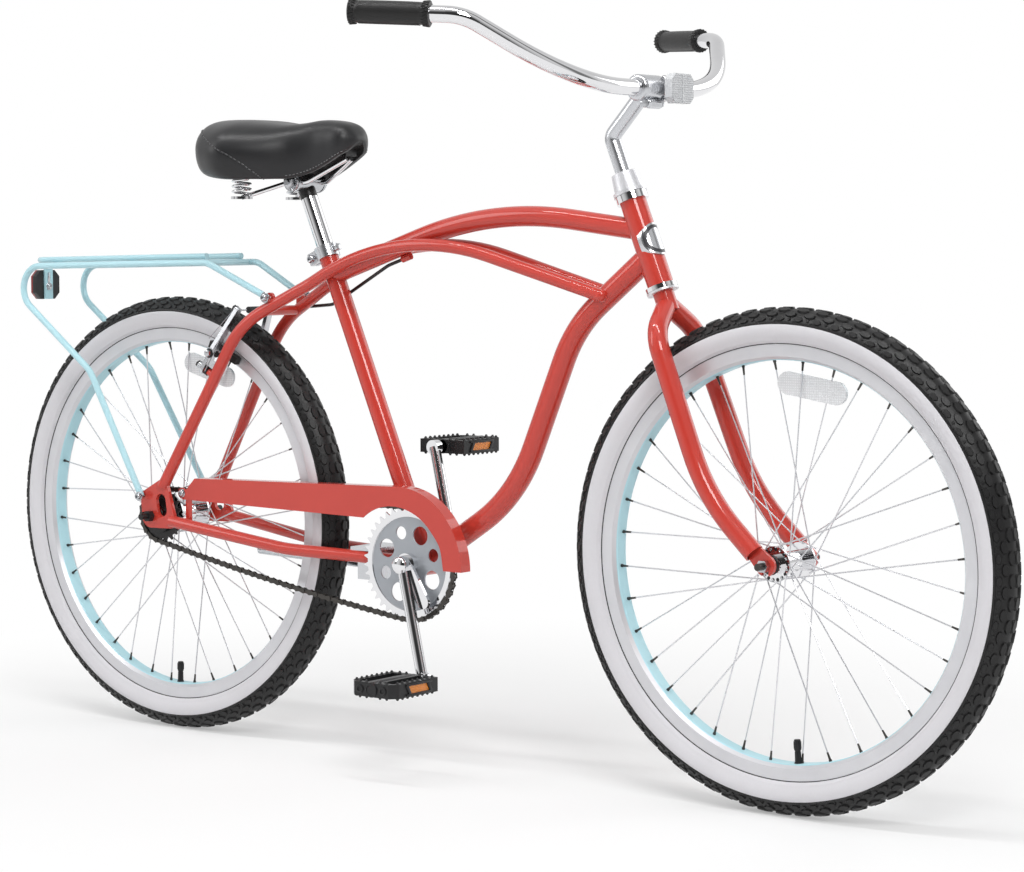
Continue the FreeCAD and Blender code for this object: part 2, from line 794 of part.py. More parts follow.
def frame_fittings(twins, stays, seat_outside, top_outside):
    """Stay bridge, brake bosses, rack lugs, cable stop and chainguard brackets."""
    flare, knee = twin_points()[2:4]
    bridge_point = flare + (knee - flare) * 0.66
    bridge_base = beside(bridge_point, -bridge_point.y)
    bridge = cylinder("bridge", size.twin_tube_radius * 0.8, size.stay_bend_half * 2, bridge_base, Y_AXIS)
    bridge.setExpression("Height", f"{2 * bridge_point.y}")
    fittings = [cut("stay_bridge", bridge, *twins)]
    boss, leg = stay_point(mm.brake_boss_run)
    outward = brake_axis()
    for label, side in SIDES.items():
        root = mirrored([boss], side)[0]
        seat = cylinder("boss_" + label, size.brake_boss_radius, size.brake_boss_length, root, outward)
        post_base = root + outward * mm.brake_boss_length
        post = cylinder("post_" + label, size.brake_post_radius, size.brake_post_length, post_base, outward)
        fittings.append(cut("brake_boss_" + label, fuse("boss_post_" + label, seat, post), twins[side > 0]))
    for label, side in SIDES.items():
        hole = rack_lug_hole()
        thickness = mm.rack_lug_thickness
        inner = hole.y - mm.rack_rod_radius - thickness
        start = Y_AXIS * (inner if side > 0 else -inner - thickness)
        line = flare + (knee - flare) * ((hole.x - flare.x) / (knee.x - flare.x))
        discs = [(beside(hole, 0) + start, mm.eyelet_ring), (beside(line, 0) + start, mm.eyelet_ring)]
        lug = extrude("lug_" + label, strap_face(discs, Y_AXIS), Y_AXIS, size.rack_lug_thickness)
        bore = cylinder("lug_bore_" + label, size.eyelet_bore, size.rack_lug_thickness, discs[0][0], Y_AXIS)
        fittings.append(cut("rack_lug_" + label, lug, bore, twins[side > 0]))
    fittings.append(cable_stop(top_outside))
    fittings.append(cut("guard_tab", guard_tab(), stays[0]))
    fittings.append(cut("guard_strap", guard_strap(), seat_outside))
    node("frame_fittings", group("fittings", *fittings))


def guard_tab():
    """Bent tab from the right chainstay up to the rear end of the chainguard."""
    stay = mirrored(chainstay_points(), -1)
    rear_x = rear_axle.x + mm.guard_rear_ahead + mm.guard_tab_width / 2
    share = (rear_x - stay[2].x) / (stay[1].x - stay[2].x)
    foot = stay[2] + (stay[1] - stay[2]) * share
    inner = -mm.guard_face + 2 * mm.guard_sheet
    low = Vector(rear_x, inner - mm.guard_sheet, foot.z + mm.chainstay_radius / 2)
    high = rear_axle.z + mm.guard_rear_top - mm.guard_chamfer
    upright = box("tab_upright", size.guard_tab_width, size.guard_sheet, size.guard_chamfer, low)
    upright.setExpression("Height", f"{high - low.z}")
    base = box("tab_foot", size.guard_tab_width, size.guard_tab_width, size.guard_tab_width / 3, low)
    base.Placement = Placement(Vector(rear_x, foot.y, low.z), Rotation())
    base.setExpression("Width", f"{inner - foot.y}")
    return fuse("tab_bend", upright, base)


def guard_strap():
    """Strap from the seat tube to the underside of the chainguard's flange."""
    crossing = bottom_bracket + seat_up * ((mm.guard_outer_radius - mm.guard_centre_drop) / seat_up.z)
    drop = 3 * mm.guard_sheet
    corner = Vector(crossing.x - mm.guard_tab_width, -mm.guard_face + mm.guard_sheet, crossing.z - drop)
    strap = box("strap_bar", size.guard_tab_width * 2, size.guard_face - size.guard_sheet, size.guard_sheet, corner)
    return strap


def brake_axis():
    """Direction of the brake bosses, square to the stays and pointing back."""
    return slope(mm.twin_tube_stay_slope + 90)


def rack_lug_hole():
    """Centre of the left rack lug's hole."""
    return rear_axle + Vector(mm.rack_lug_ahead, mm.rack_lug_half, mm.rack_lug_rise)


def seat_collar():
    """Split clamp ring round the top of the seat tube, with two ears behind."""
    base = seat_top - seat_up * mm.collar_height
    outer = size.seat_tube_radius + size.collar_wall
    ring = cylinder("collar_ring", outer, size.collar_height, base, seat_up)
    ears = box("collar_ears", outer + size.collar_ear_length, size.collar_ear_width, size.collar_height, Vector())
    back = Rotation(Z_AXIS, 180)
    tilt = Rotation(Z_AXIS, seat_up)
    ears.Placement = Placement(base, tilt * back) * Placement(Vector(0, -mm.collar_ear_width / 2, 0), Rotation())
    slit = box("collar_slit_cut", outer + size.collar_ear_length, size.collar_slit, size.collar_height, Vector())
    slit.Placement = Placement(base, tilt * back) * Placement(Vector(0, -mm.collar_slit / 2, 0), Rotation())
    bore = cylinder("collar_bore", size.seat_tube_radius, size.collar_height, base, seat_up)
    node("seat_collar", cut("collar", fuse("collar_body", ring, ears), bore, slit))


def headset():
    """Pressed cups at both ends of the head tube, and the cover and race that turn with the fork."""
    bore = size.steerer_radius + size.joint_gap
    cups = []
    ends = (
        ("upper", size.headset_cup_height, head_top, steer_up),
        ("lower", size.headset_lower_height, head_foot, steer_up * -1),
    )
    for name, height, base, axis in ends:
        cups.append(pipe("cup_" + name, size.headset_cup_radius, bore, height, base, axis))
    node("headset_cups", group("cups", *cups))
    gap = mm.headset_cup_height + mm.joint_gap
    bead = size.cover_height / 6
    profile = [
        (size.steerer_radius, ZERO),
        (size.cover_foot_radius, ZERO),
        (size.cover_foot_radius, bead),
        (size.cover_foot_radius - bead / 2, bead),
        (size.cover_top_radius, size.cover_height),
        (size.steerer_radius, size.cover_height),
    ]
    cover = turned("cover", head_top + steer_up * gap, steer_up, profile)
    race_height = size.headset_lower_height / 2
    race_top = steering_point(mm.headset_lower_height + mm.joint_gap)
    race = pipe("race", size.headset_cup_radius, size.steerer_radius, race_height, race_top, steer_up * -1)
    node("headset_cover", group("cover_and_race", cover, race))


def head_badge():
    """Bare oval plate curved round the front of the head tube."""
    middle = (head_foot + head_top) * 0.5
    wrap = pipe("badge_wrap", size.head_tube_radius + size.badge_thickness, size.head_tube_radius,
                size.head_tube_length, head_foot, steer_up)
    outer = mm.head_tube_radius + mm.badge_thickness
    outline = []
    for index in range(24):
        angle = 2 * math.pi * index / 24
        turn = mm.badge_arc / 2 * math.cos(angle) / outer
        outline.append(middle + Y_AXIS * (outer * math.sin(turn)) + steer_up * (mm.badge_height / 2 * math.sin(angle)))
    oval = Part.BSplineCurve()
    oval.interpolate(outline, PeriodicFlag=True)
    face = Part.Face(Part.Wire(oval.toShape()))
    stamp = extrude("badge_stamp", face, steer_ahead, size.head_tube_radius + size.badge_thickness * 2)
    badge = doc.addObject("Part::Common", "badge")
    badge.Base = wrap
    badge.Tool = stamp
    node("head_badge", badge)


# Steering
def fork():
    """Steerer tube with two swept blades that meet in a shoulder under the head tube."""
    foot_drop = size.fork_root_drop + size.fork_blade_radius * 0.6
    steerer_foot = steering_point(float(foot_drop))
    length = size.head_tube_length + foot_drop + size.headset_cup_height + size.cover_height
    bore = size.quill_radius + size.running_fit
    pieces = [pipe("steerer", size.steerer_radius, bore, length, steerer_foot, steer_up)]
    crown_length = foot_drop - size.headset_lower_height * 1.5 - size.joint_gap
    pieces.append(pipe("crown", size.fork_crown_radius, size.steerer_radius, crown_length, steerer_foot, steer_up))
    crown_outside = cylinder("crown_cope", size.fork_crown_radius, length, steerer_foot, steer_up)
    for label, side in SIDES.items():
        points = mirrored(blade_points(), side)
        bends = [mm.fork_shoulder_bend, mm.fork_sweep_bend]
        blade, outside = tube("blade_" + label, points, bends, size.fork_blade_radius, size.fork_blade_wall)
        reach = size.fork_length * 2
        half_space = box("half_space_" + label, reach, reach, reach, Vector())
        low = head_foot - Vector(mm.fork_length, 0, mm.fork_length)
        half_space.Placement = Placement(beside(low, 0 if side < 0 else -2 * mm.fork_length), Rotation())
        slot = fork_end_plate("blade_slot_" + label, side)
        race_foot = steering_point(mm.headset_lower_height * 1.5 + mm.joint_gap)
        above = cylinder("race_cope_" + label, size.headset_cup_radius * 2, size.head_tube_length, race_foot, steer_up)
        pieces.append(cut("fork_blade_" + label, blade, crown_outside, half_space, slot, above))
    node("fork", group("fork_weldment", *pieces, *fork_ends()))


def blade_points():
    """Corners of the left blade: shoulder, straight leg and forward sweep."""
    sweep_end = mm.fork_length - mm.fork_blade_stop
    rise = mm.fork_rake / (mm.fork_length - mm.fork_sweep_drop)
    sweep_half = mm.fork_foot_half
    return [
        steering_point(mm.fork_root_drop, 0, mm.fork_shoulder_half * 0.08),
        steering_point(mm.fork_shoulder_drop, 0, mm.fork_shoulder_half),
        steering_point(mm.fork_sweep_drop, 0, sweep_half),
        steering_point(sweep_end, rise * (sweep_end - mm.fork_sweep_drop), sweep_half),
    ]


def fork_end_start(side):
    """Y of the low side of a fork end plate."""
    return mm.fork_spacing / 2 if side > 0 else -mm.fork_spacing / 2 - mm.fork_end_thickness


def fork_end_plate(name, side):
    """A fork end's outline, from the axle ring up into the blade."""
    up = unit(steering_point(mm.fork_sweep_drop) - front_axle)
    base = front_axle + Y_AXIS * fork_end_start(side)
    discs = [(base, mm.fork_end_ring), (base + up * mm.fork_end_root, mm.fork_end_ring * 0.7)]
    return extrude(name, strap_face(discs, Y_AXIS), Y_AXIS, size.fork_end_thickness)


def fork_ends():
    """Front plates with the axle slot open downward, one for each blade."""
    ends = []
    for label, side in SIDES.items():
        base = front_axle + Y_AXIS * fork_end_start(side)
        slot_radius = mm.axle_radius + mm.axle_slot_clearance
        slot_ends = [(base, slot_radius), (base - Z_AXIS * (2 * mm.fork_end_ring), slot_radius)]
        slot = extrude("fork_slot_" + label, strap_face(slot_ends, Y_AXIS), Y_AXIS, size.fork_end_thickness)
        ends.append(cut("fork_end_" + label, fork_end_plate("fork_plate_" + label, side), slot))
    return ends


def clamp_centre():
    """Centre of the handlebar in the stem."""
    return head_top + steer_up * mm.stem_rise + Vector(mm.stem_clamp_ahead, 0, mm.stem_clamp_rise)


def stem():
    """Quill stem with one kink, and its clamp barrel round the handlebar."""
    kink = head_top + steer_up * mm.stem_rise
    points = [head_top - steer_up * mm.stem_depth, kink, clamp_centre()]
    neck = rod("neck", points, [mm.stem_bend], size.quill_radius)
    barrel_base = clamp_centre() - Y_AXIS * (mm.stem_clamp_width / 2)
    barrel = cylinder("barrel", size.stem_clamp_radius, size.stem_clamp_width, barrel_base, Y_AXIS)
    bore = cylinder("barrel_bore", size.handlebar_radius, size.stem_clamp_width, barrel_base, Y_AXIS)
    node("stem", cut("stem_body", fuse("neck_and_barrel", neck, barrel), bore))


def bar_half():
    """Corners of the left half of the handlebar, from its middle to its end."""
    centre = clamp_centre()
    flat = Vector(mm.handlebar_flat_ahead, mm.handlebar_flat_half, 0)
    top = Vector(-mm.handlebar_top_behind, mm.handlebar_top_half, mm.handlebar_rise)
    end = Vector(-mm.handlebar_end_behind, mm.handlebar_end_half, mm.handlebar_end_rise)
    straight = Vector(0, mm.stem_clamp_width, 0)
    return [centre + straight, centre + flat, centre + top, centre + end]


def handlebar():
    """Swept-back bar: straight through the clamp, out, up and back to the grips."""
    half = bar_half()
    bends = [mm.handlebar_lower_bend, mm.handlebar_upper_bend]
    entry = mm.handlebar_lower_bend * 2
    points = mirrored(half[::-1], -1) + half
    radii = bends[::-1] + [entry, entry] + bends
    bar, _ = tube("bar", points, radii, size.handlebar_radius, size.handlebar_wall)
    node("handlebar", bar)


def grips():
    """Round grips pushed on the bar's ends, with a collar at each end and a closed outer face."""
    pair = []
    for label, side in SIDES.items():
        corner, end = mirrored(bar_half()[-2:], side)
        along = unit(end - corner)
        start = end - along * (mm.grip_length - mm.reflector_band_wall)
        cap = size.grip_length - size.reflector_band_wall
        collar = size.grip_collar_length
        profile = [
            (size.handlebar_radius, ZERO),
            (size.grip_collar_radius, ZERO),
            (size.grip_collar_radius, collar),
            (size.grip_radius, collar),
            (size.grip_radius, size.grip_length - collar),
            (size.grip_collar_radius, size.grip_length - collar),
            (size.grip_collar_radius, size.grip_length),
            (ZERO, size.grip_length),
            (ZERO, cap),
            (size.handlebar_radius, cap),
        ]
        pair.append(turned("grip_" + label, start, along, profile))
    node("grips", group("grip_pair", *pair))


def front_reflector():
    """Clear reflector on a band round the bar, just left of the stem."""
    band_base = clamp_centre() + Y_AXIS * (mm.stem_clamp_width / 2 + mm.joint_gap)
    band_outer = size.handlebar_radius + size.reflector_band_wall
    band = pipe("reflector_band", band_outer, size.handlebar_radius, size.reflector_band_width, band_base, Y_AXIS)
    middle = band_base + Y_AXIS * (mm.reflector_band_width / 2)
    face = clamp_centre() + Vector(mm.front_reflector_ahead, mm.front_reflector_left, 0)
    reach = size.front_reflector_ahead
    post = cylinder("reflector_post", size.reflector_post_radius, reach, middle, X_AXIS)
    bore = cylinder("post_cope", size.handlebar_radius, size.reflector_band_width, band_base, Y_AXIS)
    node("front_reflector_bracket", cut("reflector_arm", fuse("band_and_post", band, post), bore))
    outline = eight_sided(face, mm.front_reflector_width, mm.front_reflector_height, mm.front_reflector_corner)
    node("front_reflector", extrude("front_reflector_block", outline, X_AXIS, size.front_reflector_depth))


def eight_sided(centre, width, height, corner):
    """An upright face across the bicycle with its corners cut off."""
    half = width / 2
    tall = height / 2
    plan = [(half, tall - corner), (half - corner, tall), (corner - half, tall), (-half, tall - corner)]
    plan += [(-y, -z) for y, z in plan]
    return polygon_face([centre + Vector(0, y, z) for y, z in plan], X_AXIS)


# Wheels
def wheel(name, axle, hub_profile, hub_base, flange_radius, flange_spacing, reflector_angle):
    """Tyre, rim, laced spokes, hub and spoke reflector about one axle."""
    tyre_middle = size.tyre_radius - size.tyre_width / 2
    carcass = bound("Part::Torus", name + "_carcass", Radius1=tyre_middle, Radius2=size.tyre_width / 2)
    hollow_radius = size.tyre_width / 2 - size.tyre_wall
    hollow = bound("Part::Torus", name + "_hollow", Radius1=tyre_middle, Radius2=hollow_radius)
    for ring in (carcass, hollow):
        place(ring, axle, Y_AXIS)
    core_base = axle - Y_AXIS * (mm.tyre_width / 2)
    core = cylinder(name + "_core", size.rim_seat_radius, size.tyre_width, core_base, Y_AXIS)
    node(name + "_tyre", cut(name + "_tyre_body", carcass, hollow, core))

    seat = size.rim_seat_radius
    well = size.rim_seat_radius - size.rim_well_depth
    inner = size.rim_inner_radius
    width = size.rim_width
    rim_profile = [
        (seat, ZERO),
        (seat, size.rim_wall),
        (well, size.rim_wall),
        (well, width - size.rim_wall),
        (seat, width - size.rim_wall),
        (seat, width),
        (inner + size.rim_chamfer, width),
        (inner, width - size.rim_shoulder),
        (inner, size.rim_shoulder),
        (inner + size.rim_chamfer, ZERO),
    ]
    node(name + "_rim", turned(name + "_rim_body", axle - Y_AXIS * (mm.rim_width / 2), Y_AXIS, rim_profile))
    node(name + "_hub", turned(name + "_hub_body", hub_base, Y_AXIS, hub_profile))
    spokes = doc.addObject("Part::Feature", name + "_spoke_set")
    spokes.Shape = Part.makeCompound(laced_spokes(axle, flange_radius, flange_spacing))
    node(name + "_spokes", spokes)
    node(name + "_wheel_reflector", spoke_reflector(name, axle, reflector_angle))


def around(axle, radius, angle, half):
    """A point at a radius and an angle round an axle."""
    return axle + slope(angle) * radius + Y_AXIS * half


def laced_spokes(axle, flange_radius, flange_spacing):
    """Crossed spokes; leading ones lie outside the flange and trailing ones inside it."""
    pairs = round(mm.spoke_pairs)
    step = 360 / (2 * pairs)
    land = mm.flange_thickness / 2 + mm.spoke_radius + mm.spoke_seat_gap
    spokes = []
    for index in range(2 * pairs):
        side = 1 if index % 2 else -1
        lead = 1 if (index // 2) % 2 else -1
        angle = (index + 0.5) * step
        start = around(axle, flange_radius - mm.flange_land, angle + lead * mm.spoke_lace_angle,
                       side * (flange_spacing / 2 + lead * land))
        end = around(axle, mm.rim_inner_radius - mm.spoke_end_gap, angle, side * 2 * mm.spoke_radius)
        spokes.append(prism_between(start, end, mm.spoke_radius, 6))
    return spokes


def prism_between(start, end, radius, sides):
    """A straight bar with a regular polygon section."""
    turn = Rotation(Z_AXIS, end - start)
    corners = []
    for index in range(sides):
        angle = 2 * math.pi * index / sides
        corners.append(start + turn.multVec(Vector(math.cos(angle), math.sin(angle), 0) * radius))
    return polygon_face(corners).extrude(end - start)


def spoke_reflector(name, axle, angle):
    """Flat bar clipped between the two layers of spokes."""
    length = mm.spoke_reflector_length
    base = axle - Y_AXIS * (mm.spoke_reflector_thickness / 2)
    middle = base + slope(angle) * (mm.spoke_reflector_radius - mm.spoke_reflector_height / 2)
    along = slope(angle + 90) * (length / 2 - mm.spoke_reflector_height / 2)
    ends = [(middle - along, mm.spoke_reflector_height / 2), (middle + along, mm.spoke_reflector_height / 2)]
    return extrude(name + "_reflector_bar", strap_face(ends, Y_AXIS), Y_AXIS, size.spoke_reflector_thickness)


def front_hub_profile():
    """Corners of the front hub from its right end."""
    length = size.front_hub_length
    first = (length - size.front_flange_spacing - size.flange_thickness) / 2
    return flanged_profile(length, size.front_barrel_radius, first, size.front_barrel_radius,
                           size.front_flange_radius, size.front_flange_spacing, size.front_barrel_radius)


def rear_hub_profile():
    """Corners of the rear hub, whose right end carries the freewheel."""
    length = freewheel_start() + size.rear_hub_left_end
    first = freewheel_start() - size.rear_flange_spacing / 2 - size.flange_thickness / 2
    return flanged_profile(length, size.freewheel_bore, first, size.rear_barrel_radius,
                           size.rear_flange_radius, size.rear_flange_spacing, size.rear_hub_end_radius)


def freewheel_start():
    """Distance of the freewheel's outer face to the right of the middle plane."""
    return size.chain_line + size.freewheel_length / 2 + size.chain_gap


def flanged_profile(length, start_radius, first, barrel, flange, spacing, end_radius):
    """A hub: right end, flange, barrel, flange, left end, with a bore that runs on the axle cones."""
    bore = size.cone_radius + size.running_fit
    second = first + spacing
    thickness = size.flange_thickness
    return [
        (bore, ZERO),
        (start_radius, ZERO),
        (start_radius, first),
        (flange, first),
        (flange, first + thickness),
        (barrel, first + thickness),
        (barrel, second),
        (flange, second),
        (flange, second + thickness),
        (end_radius, second + thickness),
        (end_radius, length),
        (bore, length),
    ]


def wheels():
    """Both wheels and their fixed axles."""
    front_base = front_axle - Y_AXIS * (mm.front_hub_length / 2)
    wheel("front", front_axle, front_hub_profile(), front_base, mm.front_flange_radius,
          mm.front_flange_spacing, mm.front_reflector_angle)
    rear_base = rear_axle - Y_AXIS * float(freewheel_start())
    wheel("rear", rear_axle, rear_hub_profile(), rear_base, mm.rear_flange_radius,
          mm.rear_flange_spacing, mm.rear_reflector_angle)
    axle_set("front", front_axle, size.front_axle_length, size.fork_spacing, size.fork_end_thickness)
    axle_set("rear", rear_axle, size.rear_axle_length, size.rear_spacing, size.dropout_thickness)


def axle_set(name, axle, length, spacing, plate):
    """Fixed axle with bearing cones, and a nut outside each plate."""
    outer = (length - spacing) / 2
    cone = size.cone_length
    profile = [
        (ZERO, ZERO),
        (size.axle_radius, ZERO),
        (size.axle_radius, outer),
        (size.cone_radius, outer),
        (size.cone_radius, outer + cone),
        (size.axle_radius, outer + cone),
        (size.axle_radius, length - outer - cone),
        (size.cone_radius, length - outer - cone),
        (size.cone_radius, length - outer),
        (size.axle_radius, length - outer),
        (size.axle_radius, length),
        (ZERO, length),
    ]
    pieces = [turned(name + "_axle_shaft", axle - Y_AXIS * (float(length) / 2), Y_AXIS, profile)]
    for label, side in SIDES.items():
        base = axle + Y_AXIS * (side * (float(spacing) / 2 + float(plate)))
        blank = bound("Part::Prism", f"{name}_nut_blank_{label}", Circumradius=size.nut_across_corners / 2,
                      Height=size.nut_height)
        place(blank, base, Y_AXIS * side)
        bore = cylinder(f"{name}_nut_bore_{label}", size.axle_radius, size.nut_height, base, Y_AXIS * side)
        pieces.append(cut(f"{name}_nut_{label}", blank, bore))
    node(name + "_axle", group(name + "_axle_and_nuts", *pieces))


# Drive
def pitch_radius(teeth):
    """Radius of the circle through the chain pins on a sprocket."""
    return mm.chain_pitch / (2 * math.sin(math.pi / teeth))


def toothed_face(centre, teeth, first_pin_angle):
    """Sprocket outline with a gap at every pin, starting at the given angle."""
    radius = pitch_radius(teeth)
    step = 360 / teeth
    root = mm.roller_radius + 0.5
    flank = mm.chain_pitch / 2 - mm.roller_radius - 0.45
    tooth = [(-2.1 * flank, -root), (-flank, 0), (-0.45 * flank, 3.2), (0.45 * flank, 3.2), (flank, 0), (2.1 * flank, -root)]
    points = []
    for index in range(teeth):
        angle = first_pin_angle + (index + 0.5) * step
        out = slope(angle)
        across = slope(angle + 90)
        flat_radius = radius * math.cos(math.pi / teeth)
        for side, height in tooth:
            points.append(centre + out * (flat_radius + height) + across * side)
    return polygon_face(points)


def chain_pins():
    """Pin centres of the closed chain, and the angle of one pin on each sprocket."""
    ring_radius = pitch_radius(round(mm.chainring_teeth))
    cog_radius = pitch_radius(round(mm.sprocket_teeth))
    between = rear_axle - bottom_bracket
    lean = math.degrees(math.asin((ring_radius - cog_radius) / between.Length))
    heading = math.degrees(math.atan2(between.z, between.x)) % 360
    top_angle = heading - 90 + lean
    low_angle = heading + 90 - lean
    run = slope(top_angle + 90)
    ring_step = 360 / round(mm.chainring_teeth)
    cog_step = 360 / round(mm.sprocket_teeth)
    start = bottom_bracket + slope(top_angle) * ring_radius
    upper_length = between.Length * math.cos(math.radians(lean))
    upper_count = int(upper_length // mm.chain_pitch)
    upper = [start + run * (mm.chain_pitch * index) for index in range(upper_count + 1)]
    rest = upper_length - upper_count * mm.chain_pitch
    cog_start = first_cog_angle(cog_radius, rest)
    cog_count = int((180 - 2 * lean - cog_start) // cog_step) + 1
    cog = [rear_axle + slope(top_angle + cog_start + cog_step * index) * cog_radius for index in range(cog_count)]
    ring_count = int((180 + 2 * lean) // ring_step)
    ring = [bottom_bracket + slope(top_angle - ring_step * (ring_count - index)) * ring_radius
            for index in range(ring_count)]
    lower_count = math.ceil((ring[0] - cog[-1]).Length / mm.chain_pitch)
    if (len(upper) + len(cog) + len(ring) + lower_count - 1) % 2:
        lower_count += 1
    lower = sagging_pins(cog[-1], ring[0], lower_count)
    return upper + cog + lower + ring, top_angle, top_angle + cog_start


def first_cog_angle(radius, rest):
    """Angle past the tangent where the next pin lands on the rear sprocket."""
    low = 0.0
    high = math.pi / 2
    for _ in range(60):
        angle = (low + high) / 2
        reach = math.hypot(rest + radius * math.sin(angle), radius * (1 - math.cos(angle)))
        if reach < mm.chain_pitch:
            low = angle
        else:
            high = angle
    return math.degrees(low)


def sagging_pins(start, end, count):
    """Pins between two ends on a shallow arc that hangs below the straight line."""
    chord = (end - start).Length
    low = 1e-6
    high = math.pi / count
    for _ in range(80):
        turn = (low + high) / 2
        if mm.chain_pitch * math.sin(count * turn / 2) / math.sin(turn / 2) > chord:
            low = turn
        else:
            high = turn
    heading = math.degrees(math.atan2(end.z - start.z, end.x - start.x))
    pins = []
    point = start
    for index in range(count - 1):
        angle = heading - math.degrees(turn) * ((count - 1) / 2 - index)
        point = point + slope(angle) * mm.chain_pitch
        pins.append(point)
    return pins


def chain(pins):
    """Inner links with their rollers, and outer plates that lie against them."""
    inner_half = mm.chain_gap / 2
    solids = []
    for index, pin in enumerate(pins):
        following = pins[(index + 1) % len(pins)]
        if index % 2:
            for side in SIDES.values():
                low = inner_half + mm.chain_plate if side > 0 else -inner_half - 2 * mm.chain_plate
                solids.append(link_plate(pin, following, low))
        else:
            plates = [link_plate(pin, following, low) for low in (inner_half, -inner_half - mm.chain_plate)]
            for centre in (pin, following):
                base = centre + Y_AXIS * (-mm.chain_line - inner_half)
                plates.append(prism_between(base, base + Y_AXIS * mm.chain_gap, mm.roller_radius, 6))
            solids.append(plates[0].fuse(plates[1:]).removeSplitter().Solids[0])
    item = doc.addObject("Part::Feature", "chain_links")
    item.Shape = Part.makeCompound(solids)
    node("chain", item)


def link_plate(start, end, low):
    """A waisted chain plate round two pins, from a distance beside the chain line."""
    along = unit(end - start)
    up = along.cross(Y_AXIS)
    base = Y_AXIS * (low - mm.chain_line)
    half = mm.chain_plate_half
    middle = (start + end) * 0.5
    waist = mm.chain_plate_waist
    corners = [(start, -1, 0), (start, -0.35, 1), (middle, 0, waist), (end, 0.35, 1)]
    corners += [(end, 1, 0), (end, 0.35, -1), (middle, 0, -waist), (start, -0.35, -1)]
    points = [centre + base + along * (ahead * half) + up * (rise * half) for centre, ahead, rise in corners]
    return polygon_face(points).extrude(Y_AXIS * mm.chain_plate)


def sprockets(ring_angle, cog_angle):
    """Chainring disc with its raised rim and round windows, and the freewheel."""
    plane = Y_AXIS * (-mm.chain_line - mm.tooth_thickness / 2)
    centre = bottom_bracket + plane
    ring_face = toothed_face(centre, round(mm.chainring_teeth), ring_angle)
    disc = extrude("ring_teeth", ring_face, Y_AXIS, size.tooth_thickness)
    rim_bore = size.chainring_disc_radius - size.chainring_rim_width
    rim = pipe("ring_rim", size.chainring_disc_radius, rim_bore, size.chainring_rim_height, centre, Y_AXIS * -1)
    tools = [cylinder("ring_bore", size.spindle_radius, size.tooth_thickness, centre, Y_AXIS)]
    for index in range(8):
        radius = size.chainring_large_hole if index % 2 else size.chainring_small_hole
        at = centre + slope(index * 45 + mm.chainring_hole_start) * mm.chainring_hole_circle
        tools.append(cylinder(f"ring_window_{index}", radius, size.tooth_thickness, at, Y_AXIS))
    node("chainring", cut("chainring_plate", fuse("ring_blank", disc, rim), *tools))

    cog_centre = rear_axle + plane
    cog_face = toothed_face(cog_centre, round(mm.sprocket_teeth), cog_angle)
    cog = extrude("cog_teeth", cog_face, Y_AXIS, size.tooth_thickness)
    body_base = rear_axle - Y_AXIS * (mm.chain_line + mm.freewheel_length / 2)
    body = cylinder("freewheel_body", size.freewheel_radius, size.freewheel_length, body_base, Y_AXIS)
    bore = cylinder("freewheel_hole", size.freewheel_bore + size.running_fit, size.freewheel_length, body_base, Y_AXIS)
    node("freewheel", cut("freewheel_sprocket", fuse("cog_and_body", cog, body), bore))


def crank_end(side):
    """Where the crank arm of a side carries its pedal, on the middle plane."""
    angle = math.radians(mm.crank_rest_angle)
    reach = Vector(math.sin(angle), 0, -math.cos(angle)) * mm.crank_length
    return bottom_bracket - reach * side


